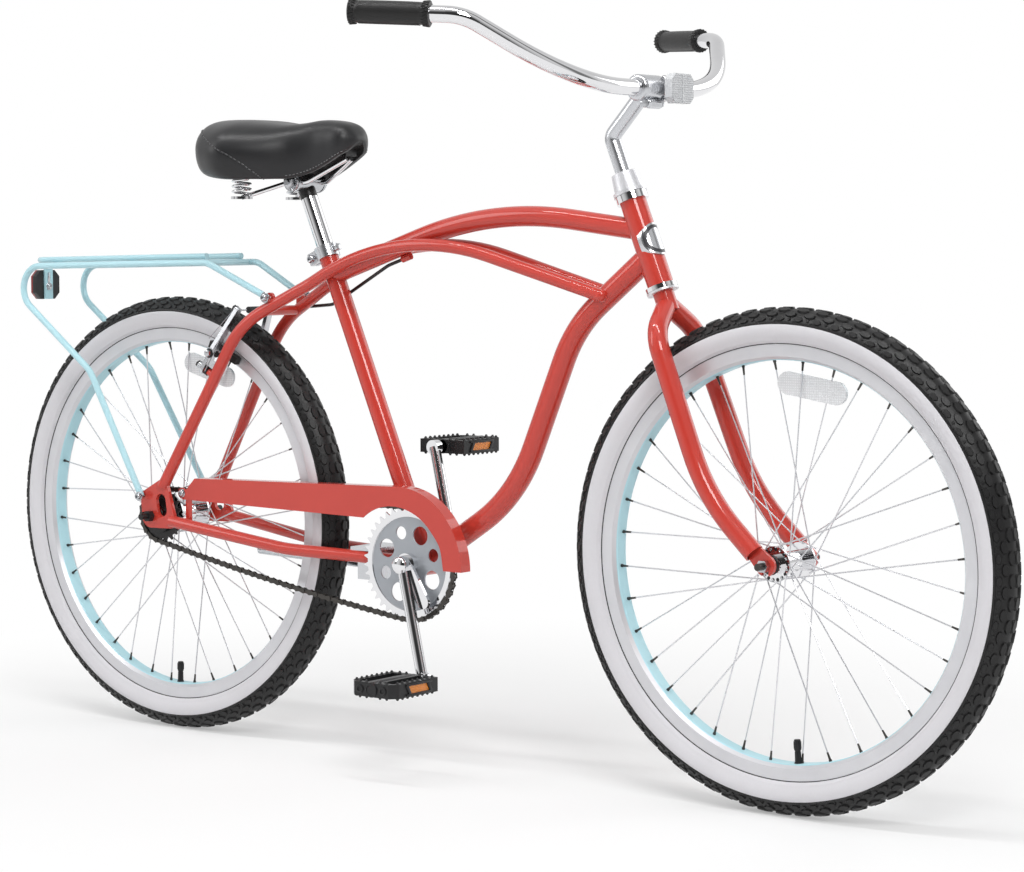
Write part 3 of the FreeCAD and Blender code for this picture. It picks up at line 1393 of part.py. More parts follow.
def cranks():
    """Bottom bracket cups, spindle, two crank arms and the pedal spindles."""
    half_shell = mm.bracket_shell_width / 2
    inner_radius = size.bracket_shell_radius - size.bracket_shell_wall
    bore = size.spindle_radius + size.running_fit
    cups = []
    for label, side in SIDES.items():
        base = bottom_bracket + Y_AXIS * (side * (half_shell - mm.bracket_cup_depth))
        depth = size.bracket_cup_depth
        profile = [
            (bore, ZERO),
            (inner_radius, ZERO),
            (inner_radius, depth),
            (size.bracket_shell_radius, depth),
            (size.bracket_shell_radius, depth + size.bracket_cup_lip),
            (bore, depth + size.bracket_cup_lip),
        ]
        cups.append(turned("bracket_cup_" + label, base, Y_AXIS * side, profile))
    node("bottom_bracket_cups", group("bracket_cups", *cups))

    outer_face = size.crank_inner_face + size.crank_thickness
    spindle_base = bottom_bracket - Y_AXIS * float(outer_face)
    axles = [cylinder("spindle", size.spindle_radius, outer_face * 2, spindle_base, Y_AXIS)]
    spindle_length = size.crank_thickness + size.pedal_gap + size.pedal_width - size.pedal_rail
    for label, side in SIDES.items():
        base = crank_end(side) + Y_AXIS * (side * (mm.crank_inner_face + mm.crank_flare))
        axles.append(cylinder("pedal_spindle_" + label, size.pedal_spindle_radius, spindle_length, base, Y_AXIS * side))
    node("crank_axles", group("spindle_set", *axles))

    arms = []
    for label, side in SIDES.items():
        outward = Y_AXIS * side
        head_base = bottom_bracket + outward * mm.crank_inner_face
        eye_base = crank_end(side) + outward * (mm.crank_inner_face + mm.crank_flare)
        middle = outward * (mm.crank_thickness / 2)
        head = cylinder("crank_head_" + label, size.crank_head_radius, size.crank_thickness, head_base, outward)
        ring = cylinder("crank_ring_" + label, size.crank_end_radius, size.crank_thickness, eye_base, outward)
        beam = rod("crank_beam_" + label, [head_base + middle, eye_base + middle], [], size.crank_arm_radius)
        arm = fuse("crank_blank_" + label, head, ring, beam)
        if side < 0:
            boss_length = size.crank_inner_face - size.chain_line - size.tooth_thickness / 2
            boss_base = bottom_bracket - Y_AXIS * mm.crank_inner_face
            boss = cylinder("crank_boss", size.crank_boss_radius, boss_length, boss_base, Y_AXIS)
            drive_end = boss_base + slope(-mm.drive_arm_angle) * mm.drive_arm_reach
            drive_low = Y_AXIS * -mm.drive_arm_thickness
            drive_discs = [(boss_base + drive_low, mm.crank_head_radius), (drive_end + drive_low, mm.drive_arm_radius)]
            drive = extrude("drive_arm", strap_face(drive_discs, Y_AXIS), Y_AXIS, size.drive_arm_thickness)
            arm = fuse("crank_with_boss", arm, boss, drive)
        hole = cylinder("crank_hole_" + label, size.spindle_radius, outer_face * 2, spindle_base, Y_AXIS)
        eye = cylinder("crank_eye_" + label, size.pedal_spindle_radius, size.crank_thickness * 2, eye_base, outward)
        arms.append(cut("crank_arm_body_" + label, arm, hole, eye))
    node("crank_arms", group("arm_pair", *arms))


def pedals():
    """Open platform pedals with a solid core on the spindle and a reflector in each long side."""
    for label, side in SIDES.items():
        centre = crank_end(side)
        near = mm.crank_inner_face + mm.crank_flare + mm.crank_thickness + mm.pedal_gap
        far = near + mm.pedal_width
        half = mm.pedal_depth / 2
        corner = mm.pedal_corner
        plan = [(-half, near), (half, near), (half, far - corner), (half - corner, far), (corner - half, far)]
        plan.append((-half, far - corner))
        low = centre - Z_AXIS * (mm.pedal_height / 2)
        outline = polygon_face([low + Vector(x, side * y, 0) for x, y in plan])
        platform = extrude("platform_" + label, outline, Z_AXIS, size.pedal_height)
        tools = []
        for end in (-1, 1):
            depth = size.pedal_depth / 2 - size.pedal_rail - size.pedal_core / 2
            width = size.pedal_width - size.pedal_rail * 2
            low_x = mm.pedal_core / 2 if end > 0 else -mm.pedal_core / 2 - float(depth)
            low_y = near + mm.pedal_rail if side > 0 else -near - mm.pedal_rail - float(width)
            tools.append(box(f"pedal_window_{label}_{end}", depth, width, size.pedal_height, low + Vector(low_x, low_y, 0)))
        bore_base = centre + Y_AXIS * (side * near)
        bore_length = size.pedal_width - size.pedal_rail
        bore_radius = size.pedal_spindle_radius + size.running_fit
        tools.append(cylinder("pedal_bore_" + label, bore_radius, bore_length, bore_base, Y_AXIS * side))
        lenses = []
        for end in (-1, 1):
            low_x = half - mm.pedal_reflector_depth if end > 0 else -half
            middle_y = side * (near + (mm.pedal_width - mm.pedal_corner) / 2) - mm.pedal_reflector_width / 2
            place_at = centre + Vector(low_x, middle_y, -mm.pedal_reflector_height / 2)
            sides = (size.pedal_reflector_depth, size.pedal_reflector_width, size.pedal_reflector_height)
            tools.append(box(f"lens_recess_{label}_{end}", *sides, place_at))
            lenses.append(box(f"lens_{label}_{end}", *sides, place_at))
        node("pedal_" + label, cut("pedal_body_" + label, platform, *tools))
        node("pedal_reflectors_" + label, group("lens_pair_" + label, *lenses))


# Chainguard
def chainguard():
    """Pressed guard: a flat face with a hooked front, and a flange along its upper edge."""
    centre = bottom_bracket - Vector(mm.guard_centre_behind, 0, mm.guard_centre_drop)
    outer = mm.guard_outer_radius
    rear = rear_axle + X_AXIS * mm.guard_rear_ahead
    crown = centre + Z_AXIS * outer
    front_outer = centre + X_AXIS * outer
    rear_top = rear + Vector(mm.guard_chamfer, 0, mm.guard_rear_top)
    rear_high = rear + Z_AXIS * (mm.guard_rear_top - mm.guard_chamfer)
    rear_low = rear + Z_AXIS * mm.guard_rear_bottom
    bends = [(0.718, 0), (0.70, 0.117), (0.657, 0.294), (0.565, 0.424), (0.426, 0.569), (0.194, 0.70)]
    bends += [(-0.041, 0.75), (-0.30, 0.72), (-0.56, 0.583)]
    inner_points = [centre + Vector(outer * x, 0, outer * z) for x, z in bends]
    front_inner = inner_points[0]
    throat = inner_points[-1]
    inner_edge = Part.BSplineCurve()
    inner_edge.interpolate(inner_points)
    arc = Part.Arc(crown, centre + slope(45) * outer, front_outer)
    rest = [
        Part.LineSegment(front_outer, front_inner),
        inner_edge,
        Part.LineSegment(throat, rear_low),
        Part.LineSegment(rear_low, rear_high),
        Part.LineSegment(rear_high, rear_top),
    ]
    shift = Y_AXIS * -mm.guard_face
    top = [Part.LineSegment(rear_top, crown), arc]
    outline = Part.Wire([edge.toShape() for edge in top + rest])
    outline.translate(shift)
    face = extrude("guard_sheet_face", Part.Face(outline), Y_AXIS, size.guard_sheet)
    lobe_middle = rear + Z_AXIS * mm.guard_lobe_rise + shift
    lobe = cylinder("guard_lobe", size.guard_lobe_radius, size.guard_sheet, lobe_middle, Y_AXIS)
    sheet_in = mm.guard_sheet
    inner_crown = crown - Z_AXIS * sheet_in
    inner_front = front_outer - X_AXIS * sheet_in
    lip = top + [
        Part.LineSegment(front_outer, inner_front),
        Part.Arc(inner_front, centre + slope(45) * (outer - sheet_in), inner_crown),
        Part.LineSegment(inner_crown, rear_top - Z_AXIS * sheet_in),
        Part.LineSegment(rear_top - Z_AXIS * sheet_in, rear_top),
    ]
    lip_outline = Part.Wire([edge.toShape() for edge in lip])
    lip_outline.translate(shift)
    flange = extrude("guard_flange", Part.Face(lip_outline), Y_AXIS, size.guard_depth)
    node("chainguard", fuse("guard_pressing", face, lobe, flange))


# Rear rack
def rack_points():
    """Corners of the left rail: lug, front bend, tail, knee and dropout eyelet."""
    lug = rack_lug_hole()
    front = rear_axle + Vector(mm.rack_front_ahead, mm.rack_front_half, mm.rack_front_rise)
    knee = rear_axle + Vector(-mm.rack_knee_behind, mm.rack_rear_half, mm.rack_knee_rise)
    tail = rear_axle + Vector(-mm.rack_tail_behind, mm.rack_rear_half, mm.rack_rear_rise)
    eyelet_half = mm.rear_spacing / 2 + mm.dropout_thickness + mm.rack_rod_radius + 2 * mm.joint_gap
    eyelet = rear_axle + Vector(-mm.eyelet_behind, eyelet_half, mm.eyelet_rise)
    return [lug, front, tail, knee, eyelet]


def rack_rail_point(behind):
    """A point of the left rail's top run at a distance behind the rear axle."""
    front, tail = rack_points()[1:3]
    share = (rear_axle.x - behind - front.x) / (tail.x - front.x)
    return front + (tail - front) * share


def rack():
    """Two side rails, three cross bars, a hoop that lies on the bars and the reflector's hanger behind it."""
    bends = [mm.rack_front_bend, mm.rack_tail_bend, mm.rack_knee_bend]
    rails = [rod("rail_" + label, mirrored(rack_points(), side), bends, size.rack_rod_radius)
             for label, side in SIDES.items()]
    node("rack_rails", group("rail_pair", *rails))
    bars = []
    for name, behind in (("rear", mm.rack_bar_rear), ("middle", mm.rack_bar_middle), ("front", -mm.rack_bar_front)):
        left = rack_rail_point(behind)
        bar = rod("rack_bar_" + name, [left, beside(left, -left.y)], [], size.rack_bar_radius)
        bars.append(cut("rack_cross_" + name, bar, *rails))
    front = beside(rack_rail_point(-mm.rack_bar_front), mm.rack_hoop_half) + Z_AXIS * (mm.rack_bar_radius * 2)
    rear = beside(hoop_rear(), mm.rack_hoop_half)
    hoop_points = [front, rear, beside(rear, -mm.rack_hoop_half), beside(front, -mm.rack_hoop_half)]
    hoop = rod("rack_hoop", hoop_points, [mm.rack_hoop_bend] * 2, size.rack_bar_radius)
    node("rack_platform", group("platform_set", hoop, *bars, cut("hanger_coped", reflector_hanger(), hoop)))


def hoop_rear():
    """Middle of the hoop's rear bar, which lies one bar above the cross bars."""
    return beside(rack_rail_point(mm.rack_hoop_rear), 0) + Z_AXIS * (mm.rack_bar_radius * 2)


def hanger_corner():
    """Low corner of the flat hanger behind the hoop's rear bar."""
    behind = mm.rack_bar_radius * 0.85 + mm.reflector_hanger_sheet
    return hoop_rear() - Vector(behind, mm.reflector_hanger_width / 2, mm.reflector_hanger_length)


def reflector_hanger():
    """Flat strip welded behind the hoop's rear bar."""
    sides = (size.reflector_hanger_sheet, size.reflector_hanger_width, size.reflector_hanger_length)
    return box("hanger", *sides, hanger_corner())


def rear_reflector():
    """Red reflector in a black shell behind its hanger."""
    shell_depth = size.rear_reflector_depth - size.rear_lens_depth
    low = hanger_corner()
    middle = Vector(low.x - float(shell_depth), 0, low.z + mm.rear_reflector_height / 2)
    sides = (mm.rear_reflector_width, mm.rear_reflector_height, mm.rear_reflector_corner)
    node("rear_reflector_shell", extrude("reflector_shell", eight_sided(middle, *sides), X_AXIS, shell_depth))
    lens_middle = middle - X_AXIS * mm.rear_lens_depth
    lens = extrude("reflector_lens", eight_sided(lens_middle, *sides), X_AXIS, size.rear_lens_depth)
    node("rear_reflector_lens", lens)


# Rear brake
def brake_arms():
    """Two arms on the bosses, each with a pad beside the rim."""
    boss, leg = stay_point(mm.brake_boss_run)
    outward = brake_axis()
    up = slope(mm.twin_tube_stay_slope)
    base = boss + outward * mm.brake_boss_length
    lean = math.radians(mm.brake_arm_lean)
    rise = mm.brake_arm_length
    for label, side in SIDES.items():
        foot = mirrored([base], side)[0]
        top = foot + up * (rise * math.cos(lean)) - Y_AXIS * (side * rise * math.sin(lean))
        shoulder = foot + up * (rise * 0.35)
        discs = [(foot, mm.brake_arm_foot), (shoulder, mm.brake_arm_foot * 0.66), (top, mm.brake_arm_top)]
        plate = extrude("arm_plate_" + label, strap_face(discs, outward), outward, size.brake_arm_thickness)
        bore_radius = size.brake_post_radius + size.running_fit
        bore = cylinder("arm_bore_" + label, bore_radius, size.brake_arm_thickness, foot, outward)
        pad_middle = pad_centre(side)
        pad_back = mm.rim_width / 2 + mm.brake_pad_rim_gap + mm.brake_pad_thickness
        pin_base = beside(pad_middle, side * pad_back)
        pin_length = size.stay_bend_half - size.rim_width / 2 - size.brake_pad_rim_gap - size.brake_pad_thickness
        pin = cylinder("arm_pin_" + label, size.brake_pin_radius, pin_length + size.brake_arm_foot, pin_base, Y_AXIS * side)
        node("brake_arm_" + label, cut("brake_arm_body_" + label, fuse("arm_and_pin_" + label, plate, pin), bore))
        pad = box("pad_" + label, size.brake_pad_length, size.brake_pad_thickness, size.brake_pad_height, Vector())
        tangent = math.degrees(math.atan2(pad_middle.x - rear_axle.x, pad_middle.z - rear_axle.z))
        low_y = pin_base.y - (mm.brake_pad_thickness if side > 0 else 0)
        turn = Placement(Vector(pad_middle.x, low_y, pad_middle.z), Rotation(Y_AXIS, tangent))
        shift = Placement(Vector(-mm.brake_pad_length / 2, 0, -mm.brake_pad_height / 2), Rotation())
        pad.Placement = turn * shift
        node("brake_pad_" + label, pad)


def arm_top(side):
    """Centre of an arm's upper end, in the middle of its thickness."""
    boss, _ = stay_point(mm.brake_boss_run)
    base = boss + brake_axis() * (mm.brake_boss_length + mm.brake_arm_thickness / 2)
    lean = math.radians(mm.brake_arm_lean)
    rise = slope(mm.twin_tube_stay_slope) * (mm.brake_arm_length * math.cos(lean))
    left = base + rise - Y_AXIS * (mm.brake_arm_length * math.sin(lean))
    return mirrored([left], side)[0]


def brake_cable():
    """Wire and boot between the arms, and the housing from the left arm to its stop."""
    left = arm_top(1)
    middle = beside(left, 0)
    reach = left.y - mm.brake_arm_top - mm.joint_gap
    half_boot = mm.brake_boot_length / 2
    boot = cylinder("cable_boot", size.brake_boot_radius, size.brake_boot_length, middle - Y_AXIS * half_boot, Y_AXIS)
    wire = rod("cable_wire", [middle - Y_AXIS * reach, middle - Y_AXIS * half_boot], [], size.brake_wire_radius)
    noodle = rod("cable_noodle", [middle + Y_AXIS * half_boot, middle + Y_AXIS * reach], [], size.brake_cable_radius)
    start = left + Y_AXIS * (mm.brake_arm_top + 3 * mm.joint_gap)
    stop, along = cable_stop_axis()
    end = stop - along * mm.joint_gap
    past_seat = seat_crossing - along * (mm.seat_tube_radius * 2) - Z_AXIS * (mm.twin_tube_radius * 4)
    past_seat = beside(past_seat, mm.seat_tube_radius * 2)
    run_in = end - along * (mm.cable_bend * 2)
    route = [start, beside(left, mm.cable_side_half), past_seat, run_in, end]
    housing = rod("cable_housing", route, [mm.cable_bend, mm.cable_bend * 4, mm.cable_bend * 4], size.brake_cable_radius)
    node("brake_cable", group("cable_run", boot, wire, noodle, housing))


def cable_stop_axis():
    """Rear end and direction of the cable stop under the top tube."""
    rear, corner = top_tube_points()[:2]
    along = unit(corner - rear)
    share = (rear_axle.x + mm.cable_stop_ahead - seat_crossing.x) / along.x
    below = Y_AXIS.cross(along)
    reach = mm.top_tube_radius + mm.cable_stop_radius - mm.cable_stop_sink
    return seat_crossing + along * share + below * reach, along


def cable_stop(top_outside):
    """Short barrel brazed under the top tube."""
    base, along = cable_stop_axis()
    barrel = cylinder("stop_barrel", size.cable_stop_radius, size.cable_stop_length, base, along)
    return cut("cable_stop", barrel, top_outside)


def pad_centre(side):
    """Point on the rim's side wall that the pad faces, in the middle of the arm's thickness."""
    boss, _ = stay_point(mm.brake_boss_run)
    start = beside(boss + brake_axis() * (mm.brake_boss_length + mm.brake_arm_thickness / 2), 0)
    up = slope(mm.twin_tube_stay_slope)
    away = start - rear_axle
    along = away.dot(up)
    reach = math.sqrt(mm.brake_pad_radius ** 2 - away.Length ** 2 + along ** 2) - along
    return beside(start + up * reach, side)


# Saddle
def post_top():
    """Top of the seatpost."""
    return seat_top + seat_up * mm.seatpost_rise


def saddle():
    """Seatpost, clamp, wire rails, coil springs, pan and padded top."""
    top = post_top()
    post_length = size.seatpost_rise + size.seatpost_depth
    post_bore = size.seatpost_radius - size.seatpost_wall
    post = pipe("post", size.seatpost_radius, post_bore, post_length, top - seat_up * float(post_length), seat_up)
    clamp_middle = top + Z_AXIS * mm.clamp_lift
    clamp_base = clamp_middle - Y_AXIS * (mm.clamp_width / 2)
    clamp = cylinder("clamp_drum", size.clamp_radius, size.clamp_width, clamp_base, Y_AXIS)
    post_outside = cylinder("post_cope", size.seatpost_radius, post_length, top - seat_up * float(post_length), seat_up)
    node("seatpost", post)
    rails = []
    for label, side in SIDES.items():
        rails.append(rod("rail_wire_" + label, mirrored(rail_points(clamp_middle), side), rail_bends(), size.rail_radius))
    node("saddle_clamp", cut("clamp_body", clamp, post_outside, *rails))
    seats = []
    springs = []
    for label, side in SIDES.items():
        foot = mirrored([spring_foot(clamp_middle)], side)[0]
        seats.append(cylinder("spring_seat_" + label, size.spring_seat_radius, size.spring_seat_height, foot, Z_AXIS))
        springs.append(coil(foot + Z_AXIS * (mm.spring_seat_height + mm.joint_gap), side))
    wires = [cut("rail_wire_cut_" + label, wire, seat) for label, wire, seat in zip(SIDES, rails, seats)]
    node("saddle_rails", group("rail_set", *wires, *seats))
    item = doc.addObject("Part::Feature", "spring_pair")
    item.Shape = Part.makeCompound(springs)
    node("saddle_springs", item)
    saddle_top(clamp_middle)


def spring_foot(clamp_middle):
    """Centre of the left spring seat's lower face."""
    return clamp_middle + Vector(-mm.spring_behind, mm.spring_half, -mm.spring_seat_drop)


def pan_base(clamp_middle):
    """Height of the pan's lower face, just above the springs."""
    spring_height = mm.spring_turns * mm.spring_pitch + 2 * mm.spring_wire
    return spring_foot(clamp_middle).z + mm.spring_seat_height + spring_height + 2 * mm.joint_gap


def rail_points(clamp_middle):
    """Corners of the left wire rail: spring seat, clamp and nose."""
    seat = spring_foot(clamp_middle) + Z_AXIS * (mm.spring_seat_height / 2)
    clamp_rear = clamp_middle + Vector(-mm.clamp_radius, mm.rail_clamp_half, 0)
    clamp_front = clamp_middle + Vector(mm.clamp_radius * 1.6, mm.rail_clamp_half, 0)
    nose = clamp_middle + Vector(mm.rail_nose_ahead, mm.rail_radius * 1.5, mm.rail_nose_rise)
    return [seat, clamp_rear, clamp_front, nose]


def rail_bends():
    """Bend radii of a wire rail."""
    return [mm.rail_radius * 5, mm.rail_radius * 6]


def coil(foot, side):
    """Compression spring of round wire, wound on half-turn arcs that climb steadily."""
    turns = round(mm.spring_turns)
    steps = 8
    edges = []
    for index in range(turns * steps // 2):
        points = []
        for part in range(3):
            share = (2 * index + part) / steps
            angle = 360 * share * side
            height = mm.spring_wire + share * mm.spring_pitch
            points.append(foot + slope_flat(angle) * mm.spring_radius + Z_AXIS * height)
        edges.append(Part.Arc(*points).toShape())
    path = Part.Wire(edges)
    heading = path.Edges[0].tangentAt(path.Edges[0].FirstParameter)
    section = Part.Wire(Part.Circle(path.Edges[0].valueAt(path.Edges[0].FirstParameter), heading, mm.spring_wire).toShape())
    return path.makePipeShell([section], True, False)


def slope_flat(degrees):
    """Unit vector in the ground plane at an angle from the X axis."""
    angle = math.radians(degrees)
    return Vector(math.cos(angle), math.sin(angle), 0)


def saddle_top(clamp_middle):
    """Pan on the springs and the padded top: wide cheeks, a dip and a rounded nose."""
    base = pan_base(clamp_middle)
    rear_x = clamp_middle.x + mm.saddle_nose_ahead - mm.saddle_length
    pan_rear = Vector(clamp_middle.x - mm.spring_behind, 0, base)
    spread = Y_AXIS * mm.spring_half
    broad = mm.spring_radius * 1.9
    discs = [(pan_rear - spread, broad), (pan_rear + spread, broad)]
    pan = extrude("pan_sheet", strap_face(discs, Z_AXIS), Z_AXIS, size.pan_thickness)
    floor = base + mm.pan_thickness
    stations = [
        (0.004, 0.58, 0.30, 0.92),
        (0.03, 0.72, 0.17, 0.97),
        (0.08, 0.86, 0.06, 0.995),
        (0.16, 0.95, -0.02, 1.00),
        (0.295, 1.00, -0.07, 0.985),
        (0.40, 0.88, -0.07, 0.945),
        (0.52, 0.68, -0.07, 0.90),
        (0.63, 0.47, -0.05, 0.91),
        (0.74, 0.35, 0.03, 0.95),
        (0.84, 0.31, 0.14, 0.94),
        (0.93, 0.28, 0.27, 0.88),
        (0.985, 0.18, 0.36, 0.74),
    ]
    wires = []
    for along, width, low, high in stations:
        wires.append(saddle_section(rear_x + along * mm.saddle_length, width * mm.saddle_half_width,
                                    floor + low * mm.saddle_height, floor + high * mm.saddle_height))
    padding = doc.addObject("Part::Feature", "padding")
    padding.Shape = Part.makeLoft(wires, True, False)
    below = mm.saddle_height * 0.1
    recess_corner = Vector(clamp_middle.x - mm.clamp_radius * 2.6, -mm.clamp_width * 0.75, base - below)
    recess_length = size.clamp_radius * 5
    recess = box("clamp_recess", recess_length, size.clamp_width * 1.5, size.saddle_height * 0.35, recess_corner)
    hollow = doc.addObject("Part::Feature", "nose_hollow")
    hollow.Shape = Part.makeLoft(nose_sections(rear_x, floor), True, True)
    well_discs = [(centre - Z_AXIS * below, radius + mm.pan_well_margin) for centre, radius in discs]
    well_depth = size.saddle_height * 0.1 + size.pan_thickness
    well = extrude("pan_well", strap_face(well_discs, Z_AXIS), Z_AXIS, well_depth)
    nose = clamp_middle + Vector(mm.rail_nose_ahead, 0, mm.rail_nose_rise + mm.rail_radius + mm.joint_gap)
    bracket_corner = nose - Vector(mm.nose_bracket_length / 2, mm.nose_bracket_width / 2, 0)
    block = box("nose_block", size.nose_bracket_length, size.nose_bracket_width, size.saddle_height / 4, bracket_corner)
    cushion = cut("cushion", padding, well, recess, hollow)
    node("saddle_pan", group("pan_and_bracket", pan, cut("nose_bracket", block, cushion)))
    node("saddle_cushion", cushion)


def nose_sections(rear_x, floor):
    """Cross sections of the hollow under the nose, which the wire rails run up into."""
    stations = [
        (0.50, 0.48, -0.15, 0.18),
        (0.63, 0.40, -0.15, 0.20),
        (0.74, 0.28, -0.12, 0.27),
        (0.84, 0.24, -0.02, 0.37),
        (0.93, 0.205, 0.10, 0.44),
        (0.96, 0.15, 0.14, 0.45),
    ]
    wires = []
    for along, width, low, high in stations:
        x = rear_x + along * mm.saddle_length
        half = width * mm.saddle_half_width
        plan = [(half, low), (half * 0.8, high), (-half * 0.8, high), (-half, low)]
        corners = [Vector(x, y, floor + z * mm.saddle_height) for y, z in plan]
        wires.append(Part.makePolygon(corners + corners[:1]))
    return wires


def saddle_section(x, half, low, high):
    """One cross section: flat floor, drawn-in sides and a crowned top."""
    rise = high - low
    floor = [Vector(x, side * half * 0.88, low) for side in (1, -1)]
    waist = [Vector(x, side * half, low + rise * 0.42) for side in (1, -1)]
    brow = [Vector(x, side * half * 0.74, low + rise * 0.86) for side in (1, -1)]
    crown = Vector(x, 0, high)
    edges = [
        Part.LineSegment(floor[1], floor[0]),
        Part.Arc(floor[0], waist[0], brow[0]),
        Part.Arc(brow[0], crown, brow[1]),
        Part.Arc(brow[1], waist[1], floor[1]),
    ]
    return Part.Wire([edge.toShape() for edge in edges])


# Kickstand
def stand_axis():
    """Hinge direction of the folding leg, tilted so that the leg swings down and out."""
    tilt = math.radians(mm.stand_tilt)
    yaw = math.radians(mm.stand_yaw)
    return Vector(math.cos(tilt) * math.sin(yaw), math.cos(tilt) * math.cos(yaw), math.sin(tilt))


def kickstand(stays):
    """Clamp plate and casting round the chainstays, a through bolt and the folding leg."""
    middle = bottom_bracket - X_AXIS * mm.stand_behind
    root, bend, _ = chainstay_points()
    share = (root.x - middle.x) / (root.x - bend.x)
    stay = root + (bend - root) * share
    top_z = stay.z + mm.chainstay_radius
    low_z = stay.z - mm.chainstay_radius - mm.stand_body_height
    plate_corner = Vector(middle.x - mm.stand_plate_length / 2, -mm.stand_plate_width / 2, top_z)
    plate = box("stand_plate", size.stand_plate_length, size.stand_plate_width, size.stand_plate_thickness, plate_corner)
    body_corner = Vector(middle.x - mm.stand_plate_length / 2, -mm.stand_body_width / 2, low_z)
    body = box("stand_body", size.stand_plate_length, size.stand_body_width, size.stand_body_height, body_corner)
    bolt_length = size.stand_body_height + size.stand_plate_thickness + size.chainstay_radius * 2
    bolt = cylinder("stand_bolt", size.stand_bolt_radius, bolt_length, Vector(middle.x, 0, low_z), Z_AXIS)
    axis = stand_axis()
    hinge = Vector(middle.x, mm.stand_hinge_half, stay.z - mm.stand_hinge_drop)
    boss_length = size.stand_hinge_half - size.stand_body_width / 4
    boss = cylinder("stand_boss", size.stand_hub_radius, boss_length, hinge, axis * -1)
    node("kickstand_bracket", cut("stand_clamp", fuse("stand_casting", plate, body, bolt, boss), *stays))
    hub = cylinder("stand_hub", size.stand_hub_radius, size.stand_hub_width, hinge + axis * mm.joint_gap, axis)
    start = hinge + axis * (mm.stand_hub_width / 2 + mm.joint_gap)
    level = X_AXIS * -1
    along = unit(level - axis * level.dot(axis))
    leg = cylinder("stand_leg", size.stand_leg_radius, size.stand_leg_length, start, along)
    node("kickstand_leg", fuse("stand_leg_body", hub, leg))


def build():
    """Makes every sub-part, checks the document and writes one file for each node."""
    twins, stays, seat_outside, top_outside = frame_tubes()
    dropouts()
    frame_fittings(twins, stays, seat_outside, top_outside)
    seat_collar()
    headset()
    head_badge()
    fork()
    stem()
    handlebar()
    grips()
    front_reflector()
    wheels()
    pins, ring_angle, cog_angle = chain_pins()
    chain(pins)
    sprockets(ring_angle, cog_angle)
    cranks()
    pedals()
    chainguard()
    rack()
    rear_reflector()
    brake_arms()
    brake_cable()
    saddle()
    kickstand(stays)
    doc.recompute()
    check()
    os.makedirs("parts", exist_ok=True)
    for label, item in nodes.items():
        item.Shape.exportStep(f"parts/{label}.step")
    print(len(nodes), "nodes,", len(pins), "chain links")
    print("least self-gap of the saddle springs", round(mm.spring_pitch - 2 * mm.spring_wire, 2), "mm")


def check():
    """Stops if an object failed or a node has no valid solid."""
    failed = [item.Label for item in doc.Objects if "Invalid" in item.State or "Error" in item.State]
    for label, item in nodes.items():
        if item.Shape.isNull() or not item.Shape.isValid() or not item.Shape.Solids:
            failed.append(label)
    if failed:
        raise ValueError("failed: " + ", ".join(failed))


build()
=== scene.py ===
"""Looks of a beach cruiser bicycle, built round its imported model.

Lengths are in metres in the model's frame: +X is forward, +Y is the rider's left and +Z is up.
The origin lies on the ground midway between the axles, and the drive side is the right (-Y) side.
"""

import logging
import math
from dataclasses import dataclass, field
from enum import Enum
from typing import Any, Callable, Optional, Sequence

import bmesh
import bpy
from mathutils import Matrix, Vector


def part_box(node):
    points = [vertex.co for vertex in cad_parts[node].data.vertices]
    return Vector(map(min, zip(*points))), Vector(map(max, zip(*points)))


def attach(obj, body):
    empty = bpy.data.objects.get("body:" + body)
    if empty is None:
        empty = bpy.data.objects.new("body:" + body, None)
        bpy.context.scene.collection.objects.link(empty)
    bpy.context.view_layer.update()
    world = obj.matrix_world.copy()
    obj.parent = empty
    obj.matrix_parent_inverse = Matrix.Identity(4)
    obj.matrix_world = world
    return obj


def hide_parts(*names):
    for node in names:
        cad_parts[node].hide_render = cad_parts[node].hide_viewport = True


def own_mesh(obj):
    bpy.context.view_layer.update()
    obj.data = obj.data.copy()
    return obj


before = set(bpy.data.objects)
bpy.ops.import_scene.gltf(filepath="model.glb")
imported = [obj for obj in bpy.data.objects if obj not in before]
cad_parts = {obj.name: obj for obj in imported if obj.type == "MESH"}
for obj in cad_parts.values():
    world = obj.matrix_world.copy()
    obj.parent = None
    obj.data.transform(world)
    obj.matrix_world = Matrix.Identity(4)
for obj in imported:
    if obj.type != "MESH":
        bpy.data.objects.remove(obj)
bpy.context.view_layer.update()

LOG = logging.getLogger("cruiser")
Colour = tuple[float, float, float]
Pair = tuple[float, float]
Triple = tuple[float, float, float]
Socket = bpy.types.NodeSocket

X_AXIS = Vector((1.0, 0.0, 0.0))
Y_AXIS = Vector((0.0, 1.0, 0.0))
Z_AXIS = Vector((0.0, 0.0, 1.0))
REAR_AXLE = Vector((-0.547, 0.0, 0.333))
FRONT_AXLE = Vector((0.547, 0.0, 0.333))
BOTTOM_BRACKET = Vector((-0.05515, 0.0, 0.292))
STEER_UP = Vector((-0.3746, 0.0, 0.9272)).normalized()
SEAT_UP = Vector((-0.3939, 0.0, 0.9191)).normalized()
SIDES = {"right": -1, "left": 1}


def rgba(colour: Colour) -> tuple[float, float, float, float]:
    """Opaque colour value.

    Args:
        colour: Linear red, green and blue.
    Returns:
        The same colour with an alpha of one.
    """
    return (*colour, 1.0)


def point(x: float, y: float, z: float) -> Any:
    """Dataclass field that holds a point or a direction."""
    return field(default_factory=lambda: Vector((x, y, z)))


def polar(centre: Vector, radius: float, degrees: float, across: float = 0.0) -> Vector:
    """Point on a circle about an axle that runs along Y.

    Args:
        centre: Middle of the circle.
        radius: Distance from the axle.
        degrees: Angle from +X towards +Z.
        across: Offset along Y.
    Returns:
        The point.
    """
    angle = math.radians(degrees)
    return centre + Vector((radius * math.cos(angle), across, radius * math.sin(angle)))


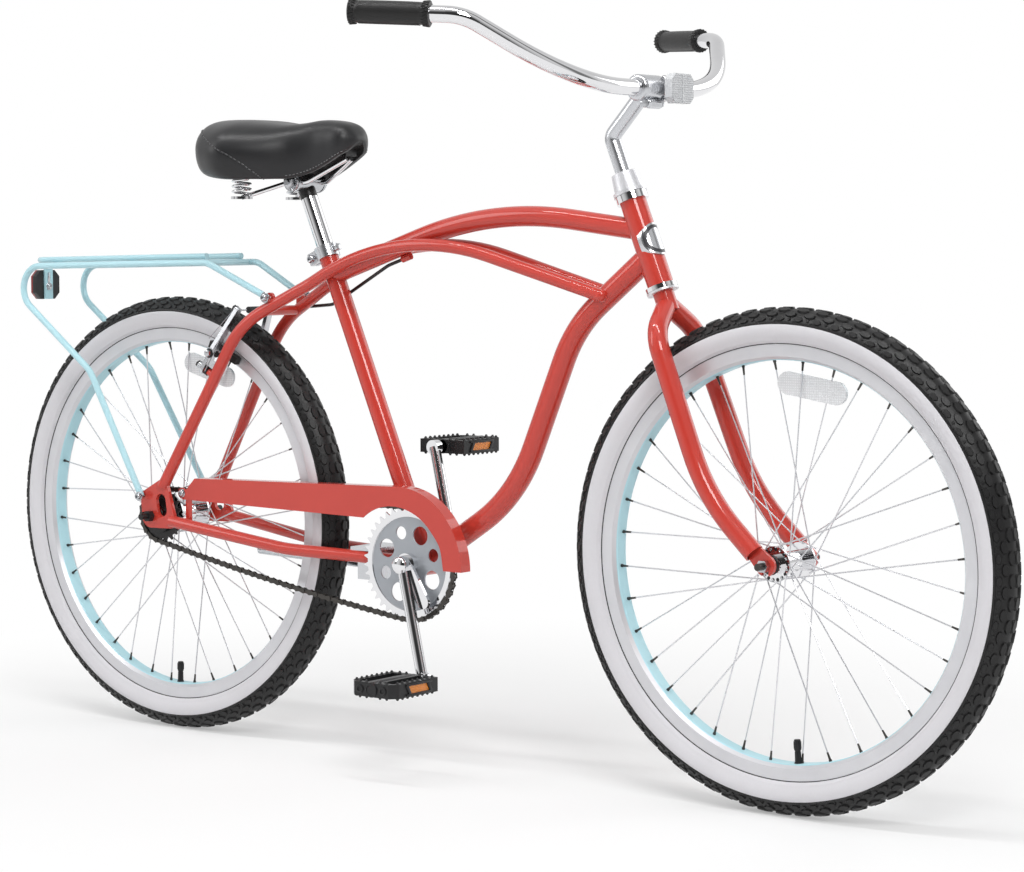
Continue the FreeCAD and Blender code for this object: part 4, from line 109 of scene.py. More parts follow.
# Finishes
class Grain(Enum):
    """Surface pattern that a finish carries."""

    FINE = "fine_grain"
    BRUSHED = "brushed_streaks"
    LEATHER = "leather_grain"
    PRISM = "prism_cells"


@dataclass(frozen=True)
class Finish:
    """Colours, gloss and grain of one surface."""

    name: str
    colour: Colour
    shade: Colour
    roughness: Pair
    metallic: float = 0.0
    grain: Grain = Grain.FINE
    scale: float = 400.0
    relief: float = 0.05
    coat: float = 0.0
    sheen: float = 0.0
    transmission: float = 0.0
    specular: float = 0.5


FRAME_PAINT = Finish("frame_paint", (0.56, 0.050, 0.034), (0.50, 0.040, 0.027), (0.30, 0.38), scale=520.0,
                     relief=0.02, coat=0.85, specular=0.15)
RACK_PAINT = Finish("rack_paint", (0.47, 0.72, 0.78), (0.42, 0.67, 0.74), (0.30, 0.38), scale=520.0, relief=0.02,
                    coat=0.5, specular=0.2)
CHROME = Finish("chrome", (0.84, 0.84, 0.85), (0.76, 0.76, 0.78), (0.03, 0.08), 1.0, scale=90.0, relief=0.006)
SATIN = Finish("satin_alloy", (0.70, 0.71, 0.73), (0.58, 0.59, 0.62), (0.20, 0.32), 1.0, Grain.BRUSHED, 240.0, 0.03)
STEEL = Finish("bright_steel", (0.62, 0.63, 0.65), (0.46, 0.47, 0.49), (0.16, 0.30), 1.0, Grain.BRUSHED, 300.0, 0.03)
COVER = Finish("cover_alloy", (0.80, 0.80, 0.82), (0.70, 0.70, 0.73), (0.34, 0.46), 0.7, Grain.BRUSHED, 260.0, 0.03)
SPOKE = Finish("spoke_steel", (0.78, 0.78, 0.80), (0.64, 0.64, 0.67), (0.24, 0.36), 0.7, Grain.BRUSHED, 300.0, 0.03)
DARK_STEEL = Finish("dark_steel", (0.11, 0.104, 0.098), (0.05, 0.046, 0.042), (0.26, 0.46), 0.9, scale=700.0,
                    relief=0.06)
BLACK_STEEL = Finish("black_steel", (0.012, 0.012, 0.013), (0.028, 0.027, 0.027), (0.28, 0.42), 0.2, scale=600.0,
                     relief=0.06, specular=0.4)
PLATE = Finish("zinc_plate", (0.42, 0.44, 0.47), (0.35, 0.37, 0.40), (0.36, 0.48), 0.55, Grain.BRUSHED, 200.0, 0.03)
RIM_SIDE = Finish("rim_side", (0.72, 0.72, 0.74), (0.60, 0.60, 0.63), (0.30, 0.42), 0.5, Grain.BRUSHED, 380.0, 0.03)
TREAD = Finish("tread_rubber", (0.006, 0.006, 0.0065), (0.014, 0.0135, 0.0135), (0.34, 0.50), scale=260.0,
               relief=0.14, specular=0.4)
WHITE_WALL = Finish("white_wall", (0.68, 0.67, 0.695), (0.60, 0.59, 0.615), (0.44, 0.58), scale=330.0, relief=0.10,
                    specular=0.3)
PLASTIC = Finish("black_plastic", (0.008, 0.008, 0.009), (0.018, 0.018, 0.019), (0.30, 0.44), scale=900.0,
                 relief=0.10, specular=0.4)
HOUSING = Finish("cable_housing", (0.008, 0.008, 0.009), (0.016, 0.016, 0.017), (0.26, 0.36), scale=600.0,
                 relief=0.05, specular=0.4)
PAD_RUBBER = Finish("pad_rubber", (0.012, 0.012, 0.012), (0.03, 0.03, 0.03), (0.60, 0.78), scale=500.0, relief=0.18,
                    specular=0.3)
GRIP_VINYL = Finish("grip_vinyl", (0.008, 0.008, 0.008), (0.018, 0.017, 0.017), (0.38, 0.52), 0.0, Grain.LEATHER,
                    620.0, 0.28, 0.0, 0.08, specular=0.35)
SADDLE_VINYL = Finish("saddle_vinyl", (0.011, 0.011, 0.012), (0.020, 0.020, 0.022), (0.34, 0.46), 0.0, Grain.LEATHER,
                      560.0, 0.14, 0.0, 0.06, specular=0.42)
LINING = Finish("saddle_lining", (0.008, 0.008, 0.008), (0.018, 0.017, 0.017), (0.60, 0.80), 0.0, Grain.LEATHER,
                900.0, 0.40, 0.0, 0.1, specular=0.25)
THREAD = Finish("thread", (0.12, 0.12, 0.125), (0.20, 0.20, 0.205), (0.50, 0.66), scale=1500.0, relief=0.3, sheen=0.2)
LACE = Finish("lace", (0.004, 0.004, 0.004), (0.010, 0.010, 0.010), (0.30, 0.42), scale=1200.0, relief=0.2,
              specular=0.35)
CLEAR_LENS = Finish("clear_lens", (0.62, 0.63, 0.64), (0.24, 0.25, 0.27), (0.10, 0.22), 0.0, Grain.PRISM, 330.0,
                    0.55, 0.8, 0.0, 0.05)
LENS_SIDE = Finish("lens_side", (0.66, 0.67, 0.68), (0.56, 0.57, 0.59), (0.12, 0.20), scale=300.0, relief=0.03,
                   coat=0.6)
WHEEL_LENS = Finish("wheel_lens", (0.84, 0.85, 0.86), (0.72, 0.73, 0.75), (0.16, 0.30), 0.0, Grain.PRISM, 300.0,
                    0.14, 0.5, 0.0, 0.15)
RED_LENS = Finish("red_lens", (0.36, 0.008, 0.010), (0.16, 0.003, 0.005), (0.08, 0.20), 0.0, Grain.PRISM, 330.0, 0.4,
                  0.8, 0.0, 0.1)
AMBER_LENS = Finish("amber_lens", (0.90, 0.30, 0.02), (0.62, 0.17, 0.01), (0.10, 0.22), 0.0, Grain.PRISM, 420.0,
                    0.35, 0.6, 0.0, 0.1, 0.3)
BADGE_EDGE = Finish("badge_edge", (0.03, 0.03, 0.035), (0.05, 0.05, 0.055), (0.30, 0.42), scale=500.0, relief=0.05)


class Graph:
    """A node tree, with the steps that effects, materials and the world share."""

    def __init__(self, tree: bpy.types.NodeTree) -> None:
        """Takes the tree."""
        self.tree = tree

    def add(self, kind: str, inputs: Optional[dict[object, object]] = None, **settings: object) -> bpy.types.Node:
        """New shader node.

        Args:
            kind: Kind of node, without the prefix that all share.
            inputs: Values of inputs, by name or number.
            settings: Values of the node's own options.
        Returns:
            The node.
        """
        node = self.tree.nodes.new(f"ShaderNode{kind}")
        for name, value in settings.items():
            setattr(node, name, value)
        for name, value in (inputs or {}).items():
            node.inputs[name].default_value = value
        return node

    def wire(self, source: Socket, target: Socket) -> None:
        """Link from an output to an input."""
        self.tree.links.new(source, target)

    def maths(self, operation: str, *operands: object) -> Socket:
        """Math node.

        Args:
            operation: Name of the operation.
            operands: Sockets or numbers that it works on.
        Returns:
            The result's socket.
        """
        node = self.add("Math", operation=operation)
        for slot, operand in zip(node.inputs, operands):
            if isinstance(operand, (int, float)):
                slot.default_value = operand
            else:
                self.wire(operand, slot)
        return node.outputs["Value"]

    def spread(self, value: Socket, source: Sequence[float], target: Sequence[float] = (0.0, 1.0),
               **settings: object) -> Socket:
        """Takes a value from one range to another.

        Args:
            value: The value.
            source: Range that it has.
            target: Range that it gets.
            settings: Values of the node's own options.
        Returns:
            The result's socket.
        """
        limits = {"From Min": source[0], "From Max": source[1], "To Min": target[0], "To Max": target[1]}
        node = self.add("MapRange", limits, **settings)
        self.wire(value, node.inputs["Value"])
        return node.outputs["Result"]

    def mixed(self, mask: Socket, first: Socket,
              second: Socket) -> Socket:
        """Light that changes from one source to another where a mask goes from zero to one.

        Args:
            mask: The mask.
            first: Source where the mask is zero.
            second: Source where the mask is one.
        Returns:
            The mix's socket.
        """
        mix = self.add("MixShader")
        for slot, source in zip(mix.inputs, (mask, first, second)):
            self.wire(source, slot)
        return mix.outputs["Shader"]


class Effects:
    """Node groups that several finishes share, each made once."""

    smudge_scale = 14.0
    smudge_detail = 5.0
    smudge_share = 0.55
    grain_share = 0.45
    grain_detail = 3.0
    bump_depth = 0.001
    streaks = (0.12, 1.0, 0.12)
    prism_disorder = 0.12

    def __init__(self) -> None:
        """Starts without groups."""
        self.made: dict[str, bpy.types.NodeTree] = {}

    def get(self, grain: Grain) -> bpy.types.NodeTree:
        """Group for a grain, with Scale and Relief inputs and Mask and Normal outputs.

        Args:
            grain: The surface pattern.
        Returns:
            The node group.
        """
        if grain.value not in self.made:
            self.made[grain.value] = self._build(grain)
        return self.made[grain.value]

    def _build(self, grain: Grain) -> bpy.types.NodeTree:
        """Makes the group of a grain.

        Args:
            grain: The surface pattern.
        Returns:
            The node group.
        """
        graph = Graph(bpy.data.node_groups.new(grain.value, "ShaderNodeTree"))
        for label, way, kind in (("Scale", "INPUT", "Float"), ("Relief", "INPUT", "Float"),
                                 ("Mask", "OUTPUT", "Float"), ("Normal", "OUTPUT", "Vector")):
            graph.tree.interface.new_socket(name=label, in_out=way, socket_type=f"NodeSocket{kind}")
        entry = graph.tree.nodes.new("NodeGroupInput")
        leave = graph.tree.nodes.new("NodeGroupOutput")
        place = graph.add("TexCoord").outputs["Object"]
        smudge = graph.add("TexNoise", {"Scale": self.smudge_scale, "Detail": self.smudge_detail})
        graph.wire(place, smudge.inputs["Vector"])
        height = self._height(graph, grain, entry.outputs["Scale"], place)
        bump = graph.add("Bump", {"Distance": self.bump_depth})
        graph.wire(entry.outputs["Relief"], bump.inputs["Strength"])
        graph.wire(height, bump.inputs["Height"])
        share = graph.maths("MULTIPLY", smudge.outputs["Fac"], self.smudge_share)
        graph.wire(graph.maths("MULTIPLY_ADD", height, self.grain_share, share), leave.inputs["Mask"])
        graph.wire(bump.outputs["Normal"], leave.inputs["Normal"])
        return graph.tree

    def _height(self, graph: Graph, grain: Grain, scale: Socket,
                place: Socket) -> Socket:
        """Height pattern of a grain.

        Args:
            graph: The group's nodes.
            grain: The surface pattern.
            scale: The group's scale.
            place: The coordinates.
        Returns:
            The height's socket.
        """
        if grain is Grain.LEATHER:
            node = graph.add("TexVoronoi", {"Randomness": 1.0}, feature="DISTANCE_TO_EDGE", distance="EUCLIDEAN")
        elif grain is Grain.PRISM:
            node = graph.add("TexVoronoi", {"Randomness": self.prism_disorder}, feature="F1", distance="MANHATTAN")
        else:
            node = graph.add("TexNoise", {"Detail": self.grain_detail})
        if grain is Grain.BRUSHED:
            stretch = graph.add("Mapping", {"Scale": self.streaks})
            graph.wire(place, stretch.inputs["Vector"])
            place = stretch.outputs["Vector"]
        graph.wire(place, node.inputs["Vector"])
        graph.wire(scale, node.inputs["Scale"])
        return node.outputs["Distance" if grain in (Grain.LEATHER, Grain.PRISM) else "Fac"]


@dataclass
class Layer:
    """Sockets of one finish inside a material."""

    colour: Socket
    roughness: Socket
    normal: Socket


class Shader(Graph):
    """Builds one material's node tree."""

    effects = Effects()
    gloss_range = (0.25, 0.75)
    coat_roughness = 0.025

    def __init__(self, name: str) -> None:
        """Starts a material of this name."""
        self.material = bpy.data.materials.new(name)
        self.material.use_nodes = True
        super().__init__(self.material.node_tree)
        self.surface = self.tree.nodes["Principled BSDF"]

    def position(self, origin: Vector, along: Vector) -> Socket:
        """Distance along a direction from a point, in object coordinates.

        Args:
            origin: Point that measures zero.
            along: Direction that is measured, scaled to the wanted unit.
        Returns:
            The value's socket.
        """
        shift = self.add("VectorMath", {1: origin}, operation="SUBTRACT")
        self.wire(self.add("TexCoord").outputs["Object"], shift.inputs[0])
        dot = self.add("VectorMath", {1: along}, operation="DOT_PRODUCT")
        self.wire(shift.outputs["Vector"], dot.inputs[0])
        return dot.outputs["Value"]

    def length(self, first: Socket, second: Socket) -> Socket:
        """Square root of the sum of two squares."""
        squares = self.maths("ADD", self.maths("POWER", first, 2.0), self.maths("POWER", second, 2.0))
        return self.maths("SQRT", squares)

    def layer(self, finish: Finish) -> Layer:
        """Colour, roughness and normal of a finish.

        Args:
            finish: The finish.
        Returns:
            Its sockets.
        """
        grain = {"Scale": finish.scale, "Relief": finish.relief}
        group = self.add("Group", grain, node_tree=self.effects.get(finish.grain))
        tint = self.add("Mix", {6: rgba(finish.colour), 7: rgba(finish.shade)}, data_type="RGBA")
        self.wire(group.outputs["Mask"], tint.inputs[0])
        gloss = self.spread(group.outputs["Mask"], self.gloss_range, finish.roughness)
        return Layer(tint.outputs[2], gloss, group.outputs["Normal"])

    def finished(self, *finishes: Finish) -> bpy.types.Material:
        """Sets the values that a material has all over.

        Args:
            finishes: Finishes of the material. Where they differ, the least value counts.
        Returns:
            The material.
        """
        values = {
            "Coat Weight": min(finish.coat for finish in finishes),
            "Coat Roughness": self.coat_roughness,
            "Sheen Weight": min(finish.sheen for finish in finishes),
            "Transmission Weight": min(finish.transmission for finish in finishes),
            "Specular IOR Level": min(finish.specular for finish in finishes),
        }
        for name, value in values.items():
            self.surface.inputs[name].default_value = value
        return self.material

    def plain(self, finish: Finish) -> bpy.types.Material:
        """Material of a single finish."""
        layer = self.layer(finish)
        self.wire(layer.colour, self.surface.inputs["Base Color"])
        self.wire(layer.roughness, self.surface.inputs["Roughness"])
        self.wire(layer.normal, self.surface.inputs["Normal"])
        self.surface.inputs["Metallic"].default_value = finish.metallic
        return self.finished(finish)

    def pair(self, first: Finish, second: Finish, mask: Socket) -> bpy.types.Material:
        """Material that changes from one finish to another where a mask goes from zero to one.

        Args:
            first: Finish where the mask is zero.
            second: Finish where the mask is one.
            mask: The mask.
        Returns:
            The material.
        """
        low = self.layer(first)
        high = self.layer(second)
        for kind, slot, one, two, start in (("RGBA", "Base Color", low.colour, high.colour, 6),
                                            ("FLOAT", "Roughness", low.roughness, high.roughness, 2),
                                            ("VECTOR", "Normal", low.normal, high.normal, 4)):
            mix = self.add("Mix", data_type=kind)
            self.wire(mask, mix.inputs[0])
            self.wire(one, mix.inputs[start])
            self.wire(two, mix.inputs[start + 1])
            self.wire(mix.outputs[start // 2 - 1], self.surface.inputs[slot])
        metal = self.spread(mask, (0.0, 1.0), (first.metallic, second.metallic))
        self.wire(metal, self.surface.inputs["Metallic"])
        return self.finished(first, second)


class Paints:
    """Materials by finish, each made once."""

    def __init__(self) -> None:
        """Starts without materials."""
        self.made: dict[str, bpy.types.Material] = {}

    def of(self, finish: Finish) -> bpy.types.Material:
        """Material of a finish."""
        if finish.name not in self.made:
            self.made[finish.name] = Shader(finish.name).plain(finish)
        return self.made[finish.name]

    def dress(self, node: str, material: bpy.types.Material) -> None:
        """Gives a CAD node a material.

        Args:
            node: Name of the node.
            material: Material for all its faces.
        """
        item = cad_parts[node]
        for slot in item.material_slots:
            slot.link = "OBJECT"
            slot.material = material
        LOG.info("dressed %s in %s", node, material.name)


PAINTS = Paints()


# Shapes
class Mould:
    """A mesh under construction, with the operations that many pieces share."""

    def __init__(self) -> None:
        """Starts with an empty mesh."""
        self.mesh = bmesh.new()

    def _since(self, count: int, material: int) -> None:
        """Gives the faces made since a count a material index.

        Args:
            count: Number of faces before.
            material: Material index.
        """
        self.mesh.faces.ensure_lookup_table()
        for face in self.mesh.faces[count:]:
            face.material_index = material

    @staticmethod
    def facing(base: Vector, axis: Vector) -> Matrix:
        """Matrix that takes the Z axis to a direction and the origin to a point."""
        return Matrix.Translation(base) @ axis.to_track_quat("Z", "Y").to_matrix().to_4x4()

    def lathe(self, profile: Sequence[Pair], base: Vector, axis: Vector, steps: int = 32,
              material: int = 0, ring: bool = False,
              bands: Optional[Callable[[float, float], int]] = None) -> None:
        """Surface of revolution.

        Args:
            profile: Radius and distance along the axis of each corner.
            base: Point on the axis where the distance is zero.
            axis: Direction of the axis.
            steps: Number of segments round the axis.
            material: Material index of the faces.
            ring: Whether the profile's last corner joins its first.
            bands: Material index from a face's mean radius and distance along the axis.
        """
        count = len(self.mesh.faces)
        points = [self.mesh.verts.new((radius, 0.0, along)) for radius, along in profile]
        pairs = list(zip(points, points[1:]))
        if ring:
            pairs.append((points[-1], points[0]))
        edges = [self.mesh.edges.new(pair) for pair in pairs]
        before = set(self.mesh.verts) - set(points)
        bmesh.ops.spin(self.mesh, geom=points + edges, cent=(0, 0, 0), axis=(0, 0, 1), angle=math.tau,
                       steps=steps, use_merge=True)
        fresh = [vert for vert in self.mesh.verts if vert not in before]
        if bands:
            self.mesh.faces.ensure_lookup_table()
            for face in self.mesh.faces[count:]:
                middle = face.calc_center_median()
                face.material_index = bands(math.hypot(middle.x, middle.y), middle.z)
        else:
            self._since(count, material)
        bmesh.ops.remove_doubles(self.mesh, verts=fresh, dist=1e-6)
        fresh = [vert for vert in fresh if vert.is_valid]
        bmesh.ops.transform(self.mesh, matrix=self.facing(base, axis), verts=fresh)

    def bar(self, start: Vector, end: Vector, radius: float, sides: int = 12, tip: Optional[float] = None,
            material: int = 0) -> None:
        """Round or many-sided bar between two points.

        Args:
            start: Middle of the first end.
            end: Middle of the second end.
            radius: Radius at the first end.
            sides: Number of sides.
            tip: Radius at the second end, if it differs.
            material: Material index of the faces.
        """
        count = len(self.mesh.faces)
        run = end - start
        place = self.facing((start + end) / 2, run)
        bmesh.ops.create_cone(self.mesh, cap_ends=True, segments=sides, radius1=radius,
                              radius2=radius if tip is None else tip, depth=run.length, matrix=place)
        self._since(count, material)

    def block(self, middle: Vector, axes: Sequence[Vector], sizes: Sequence[float], bevel: float = 0.0,
              segments: int = 2, material: int = 0) -> None:
        """Box with rounded edges.

        Args:
            middle: Centre of the box.
            axes: Three directions at right angles.
            sizes: Length along each direction.
            bevel: Radius of the edges.
            segments: Segments of each rounded edge.
            material: Material index of the faces.
        """
        count = len(self.mesh.faces)
        turn = Matrix([list(axis) for axis in axes]).transposed().to_4x4()
        place = Matrix.Translation(middle) @ turn @ Matrix.Diagonal((*sizes, 1.0))
        made = bmesh.ops.create_cube(self.mesh, size=1.0, matrix=place)
        if bevel:
            edges = list({edge for vert in made["verts"] for edge in vert.link_edges})
            bmesh.ops.bevel(self.mesh, geom=edges, offset=bevel, offset_type="OFFSET", segments=segments,
                            profile=0.5, affect="EDGES", material=-1)
        self._since(count, material)

    def stud(self, middle: Vector, along: Vector, out: Vector, sizes: Sequence[float], sides: int = 8,
             draft: float = 0.86) -> None:
        """Low many-sided block with sloping sides.

        Args:
            middle: Middle of the block's foot.
            along: Direction of its length.
            out: Direction of its height.
            sizes: Length, width and height.
            sides: Number of sides.
            draft: Size of the top as a share of the foot.
        """
        across = out.cross(along).normalized()
        turn = Matrix([list(along), list(across), list(out)]).transposed().to_4x4()
        spin = Matrix.Rotation(math.pi / sides, 4, "Z")
        scale = Matrix.Diagonal((sizes[0] / 2, sizes[1] / 2, sizes[2], 1.0))
        place = Matrix.Translation(middle + out * (sizes[2] / 2)) @ turn @ scale @ spin
        bmesh.ops.create_cone(self.mesh, cap_ends=True, segments=sides, radius1=1.0, radius2=draft, depth=1.0,
                              matrix=place)

    def coil(self, foot: Vector, radius: float, wire: float, turns: int, pitch: float) -> None:
        """Upright coil of round wire.

        Args:
            foot: Middle of the coil's lowest level.
            radius: Radius of the coil's middle line.
            wire: Radius of the wire.
            turns: Number of turns.
            pitch: Rise of one turn.
        """
        place = Matrix.Translation((radius, 0.0, wire)) @ Matrix.Rotation(math.pi / 2, 4, "X")
        before = set(self.mesh.verts)
        ring = bmesh.ops.create_circle(self.mesh, cap_ends=False, segments=12, radius=wire, matrix=place)["verts"]
        edges = list({edge for vert in ring for edge in vert.link_edges})
        steps = 32 * turns
        rise = (0, 0, pitch * turns / steps)
        bmesh.ops.spin(self.mesh, geom=ring + edges, cent=(0, 0, 0), axis=(0, 0, 1), dvec=rise,
                       angle=math.tau * turns, steps=steps, use_merge=False)
        fresh = [vert for vert in self.mesh.verts if vert not in before]
        ends = list({edge for vert in fresh for edge in vert.link_edges if edge.is_boundary})
        bmesh.ops.holes_fill(self.mesh, edges=ends, sides=0)
        bmesh.ops.translate(self.mesh, vec=foot, verts=fresh)

    def washer(self, base: Vector, axis: Vector, radius: float, thickness: float, material: int = 0) -> None:
        """Flat disc with a rounded edge.

        Args:
            base: Middle of the face that it sits on.
            axis: Direction that it points in.
            radius: Radius of the disc.
            thickness: Its thickness.
            material: Material index of the faces.
        """
        ring = [(0.0, 0.0), (radius, 0.0), (radius, thickness * 0.7), (radius * 0.95, thickness), (0.0, thickness)]
        self.lathe(ring, base, axis, 24, material)

    def hexagon(self, base: Vector, axis: Vector, radius: float, height: float, washer: float = 0.0) -> None:
        """Hexagon head or nut with a domed face, on a washer if one is given.

        Args:
            base: Middle of the face that it sits on.
            axis: Direction that it points in.
            radius: Radius across the corners.
            height: Height of the head.
            washer: Radius of the washer, or zero for none.
        """
        if washer:
            thickness = height * 0.2
            self.washer(base, axis, washer, thickness)
            base = base + axis * thickness
        place = self.facing(base + axis * (height / 2), axis)
        made = bmesh.ops.create_cone(self.mesh, cap_ends=True, segments=6, radius1=radius, radius2=radius,
                                     depth=height, matrix=place)
        top = [edge for edge in {edge for vert in made["verts"] for edge in vert.link_edges}
               if all((vert.co - base).dot(axis) > height * 0.5 for vert in edge.verts)]
        bmesh.ops.bevel(self.mesh, geom=top, offset=radius * 0.14, offset_type="OFFSET", segments=2, profile=0.5,
                        affect="EDGES", material=-1)

    def screw(self, base: Vector, axis: Vector, head: Pair,
              plate: Optional[Pair] = None) -> None:
        """Domed screw head with a round socket, on a washer if one is given.

        Args:
            base: Middle of the face that it sits on.
            axis: Direction that it points in.
            head: Radius and height of the head.
            plate: Radius and thickness of the washer.
        """
        if plate:
            self.washer(base, axis, *plate)
            base = base + axis * plate[1]
        radius, height = head
        socket = radius * 0.45
        dome = [(0.0, height * 0.35), (socket, height * 0.35), (socket, height * 0.97), (radius * 0.6, height),
                (radius * 0.86, height * 0.78), (radius, height * 0.4), (radius, 0.0), (0.0, 0.0)]
        self.lathe(dome, base, axis, 24)

    def piece(self, name: str, body: str, finishes: Sequence[Finish],
              angle: float = 38.0) -> bpy.types.Object:
        """Turns the mesh into a piece that rides on a body.

        Args:
            name: Name of the piece.
            body: Body that it moves with.
            finishes: Finishes, in the order of their indices.
            angle: Edges sharper than this many degrees stay sharp.
        Returns:
            The object.
        """
        bmesh.ops.recalc_face_normals(self.mesh, faces=list(self.mesh.faces))
        data = bpy.data.meshes.new(name)
        self.mesh.to_mesh(data)
        self.mesh.free()
        data.shade_smooth()
        data.set_sharp_from_angle(angle=math.radians(angle))
        for finish in finishes:
            data.materials.append(PAINTS.of(finish))
        item = bpy.data.objects.new(name, data)
        bpy.context.scene.collection.objects.link(item)
        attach(item, body)
        LOG.info("made %s on %s with %d faces", name, body, len(data.polygons))
        return item


class Assembly:
    """A group of nodes and pieces that belong together."""

    paint: dict[str, Finish] = {}

    def dress(self) -> None:
        """Gives the CAD nodes their materials."""
        for node, finish in self.paint.items():
            PAINTS.dress(node, PAINTS.of(finish))

    def build(self) -> None:
        """Makes the pieces that are added to the CAD nodes."""


# Wheels
@dataclass(frozen=True)
class TyreSizes:
    """Section of a tyre: a torus with a raised tread."""

    middle: float = 0.306
    crown: float = 0.0246
    seat: float = 0.2853
    white_outer: float = 0.3106
    white_inner: float = 0.2855
    white_across: float = 0.017
    rim_bare: float = 0.0112
    block_sink: float = 0.0004
    pitches: int = 72
    steps: int = 180


@dataclass(frozen=True)
class TreadRow:
    """One row of blocks: its angle round the section and the size of a block."""

    angle: float
    shift: float
    length: float
    width: float
    height: float
    sides: int = 8
    root: float = 0.0246


@dataclass(frozen=True)
class SpokeSizes:
    """Lacing of the spokes and the nipples at the rim."""

    count: int = 36
    lace: float = 60.0
    rim: float = 0.2642
    across: float = 0.002
    length: float = 0.013
    head: float = 0.003
    neck_radius: float = 0.0013
    waist_radius: float = 0.0017
    head_radius: float = 0.0022


@dataclass(frozen=True)
class HubSizes:
    """A hub's flanges and ends."""

    flange_radius: float
    flange_half: float
    flange_thickness: float
    end_radius: float
    end_right: float
    end_left: float
    holes: int = 18
    first_hole: float = 5.0
    hole_inset: float = 0.0034


class Wheel(Assembly):
    """Tyre, rim, spokes, hub, nipples, valve and reflector of one wheel."""

    rows = (
        TreadRow(0.0, 0.0, 0.0190, 0.0100, 0.0024),
        TreadRow(24.0, 0.5, 0.0200, 0.0102, 0.0024),
        TreadRow(45.0, 0.0, 0.0175, 0.0096, 0.0024),
        TreadRow(62.0, 0.5, 0.0150, 0.0080, 0.0022, 6, 0.0249),
        TreadRow(62.0, 0.0, 0.0052, 0.0052, 0.0018, 6, 0.0249),
        TreadRow(73.0, 0.76, 0.0020, 0.0070, 0.0014, 4, 0.0259),
    )
    shoulder = (
        (54, 0.0248), (61, 0.0252), (67, 0.0257), (71, 0.0260), (72.5, 0.0270), (75.5, 0.0270), (77, 0.0263),
        (79.3, 0.0266), (86, 0.0269), (94, 0.0270), (102, 0.0270), (110, 0.0270), (118, 0.0270), (124, 0.0269),
        (126, 0.0273), (128, 0.0273), (130, 0.0268), (134.5, 0.0266), (136, 0.0260), (139, 0.0262),
    )
    bead = 0.0168
    valve_root = 0.266
    valve_stem = (
        (0.0, 0.0), (0.0058, 0.0), (0.0052, 0.003), (0.0044, 0.005), (0.0042, 0.017), (0.0036, 0.019),
        (0.0046, 0.0192), (0.0048, 0.021), (0.0048, 0.031), (0.0040, 0.0335), (0.0, 0.034),
    )
    cap_ribs = 10

    def __init__(self, name: str, axle: Vector, body: str, valve_angle: float, hub: HubSizes) -> None:
        """Starts a wheel.

        Args:
            name: Name of the wheel.
            axle: Middle of its axle.
            body: Body that it turns with.
            valve_angle: Angle of the valve in degrees.
            hub: Sizes of its hub.
        """
        self.name = name
        self.axle = axle
        self.body = body
        self.valve_angle = valve_angle
        self.hub = hub
        self.sizes = TyreSizes()
        self.spokes = SpokeSizes()
        self.paint = {
            f"{name}_spokes": SPOKE,
            f"{name}_hub": CHROME,
            f"{name}_wheel_reflector": WHEEL_LENS,
        }

    def dress(self) -> None:
        """Paints the nodes; the rim is bare on its sides and blue inside."""
        super().dress()
        shader = Shader(f"{self.name}_rim")
        side = shader.maths("ABSOLUTE", shader.position(self.axle, Y_AXIS))
        mask = shader.maths("GREATER_THAN", side, self.sizes.rim_bare)
        PAINTS.dress(f"{self.name}_rim", shader.pair(RACK_PAINT, RIM_SIDE, mask))

    def build(self) -> None:
        """Tyre, nipples, hub trim and valve."""
        self.tyre()
        self.nipples()
        self.trim()
        self.valve()

    def section(self, degrees: float, radius: float) -> Pair:
        """Radius from the axle and offset across the wheel of a point of the tyre's section."""
        angle = math.radians(degrees)
        return self.sizes.middle + radius * math.cos(angle), radius * math.sin(angle)

    def whiteness(self, radius: float, across: float) -> int:
        """Material index of the carcass: one on the white wall, else zero."""
        sizes = self.sizes
        return int(sizes.white_inner < radius < sizes.white_outer and abs(across) > sizes.white_across)

    def tyre(self) -> None:
        """Carcass with a white wall and a ridge, and rows of tread blocks."""
        sizes = self.sizes
        tread = [(degrees, sizes.crown) for degrees in range(0, 46, 9)]
        outline = [self.section(degrees, radius) for degrees, radius in (*tread, *self.shoulder)]
        outline.append((sizes.seat, self.bead))
        profile = outline + [(radius, -across) for radius, across in outline[:0:-1]]
        mould = Mould()
        mould.lathe(profile, self.axle, Y_AXIS, sizes.steps, ring=True, bands=self.whiteness)
        step = 360 / sizes.pitches
        for row in self.rows:
            for side in (1, -1) if row.angle else (1,):
                for index in range(sizes.pitches):
                    turn = (index + row.shift + (0.5 if side < 0 else 0.0)) * step
                    outward = polar(Vector(), 1.0, turn)
                    tangent = polar(Vector(), 1.0, turn + 90)
                    lean = math.radians(row.angle) * side
                    normal = outward * math.cos(lean) + Y_AXIS * math.sin(lean)
                    foot = self.axle + outward * sizes.middle + normal * (row.root - sizes.block_sink)
                    block = (row.length, row.width, row.height + sizes.block_sink)
                    mould.stud(foot, tangent, normal, block, row.sides)
        item = mould.piece(f"{self.name}_tyre_tread", self.body, [TREAD, WHITE_WALL])
        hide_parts(f"{self.name}_tyre")

    def nipples(self) -> None:
        """Spoke nipples at the rim."""
        spokes = self.spokes
        mould = Mould()
        for index in range(spokes.count):
            side = 1 if index % 2 else -1
            lead = spokes.lace if (index // 2) % 2 else -spokes.lace
            degrees = (index + 0.5) * 360 / spokes.count
            start = polar(self.axle, self.hub.flange_radius, degrees + lead, side * self.hub.flange_half)
            end = polar(self.axle, spokes.rim, degrees, side * spokes.across)
            run = (end - start).normalized()
            neck = end - run * spokes.head
            mould.bar(end - run * spokes.length, neck, spokes.neck_radius, 8, spokes.waist_radius)
            mould.bar(neck, end, spokes.head_radius, 8)
        mould.piece(f"{self.name}_nipples", self.body, [DARK_STEEL])

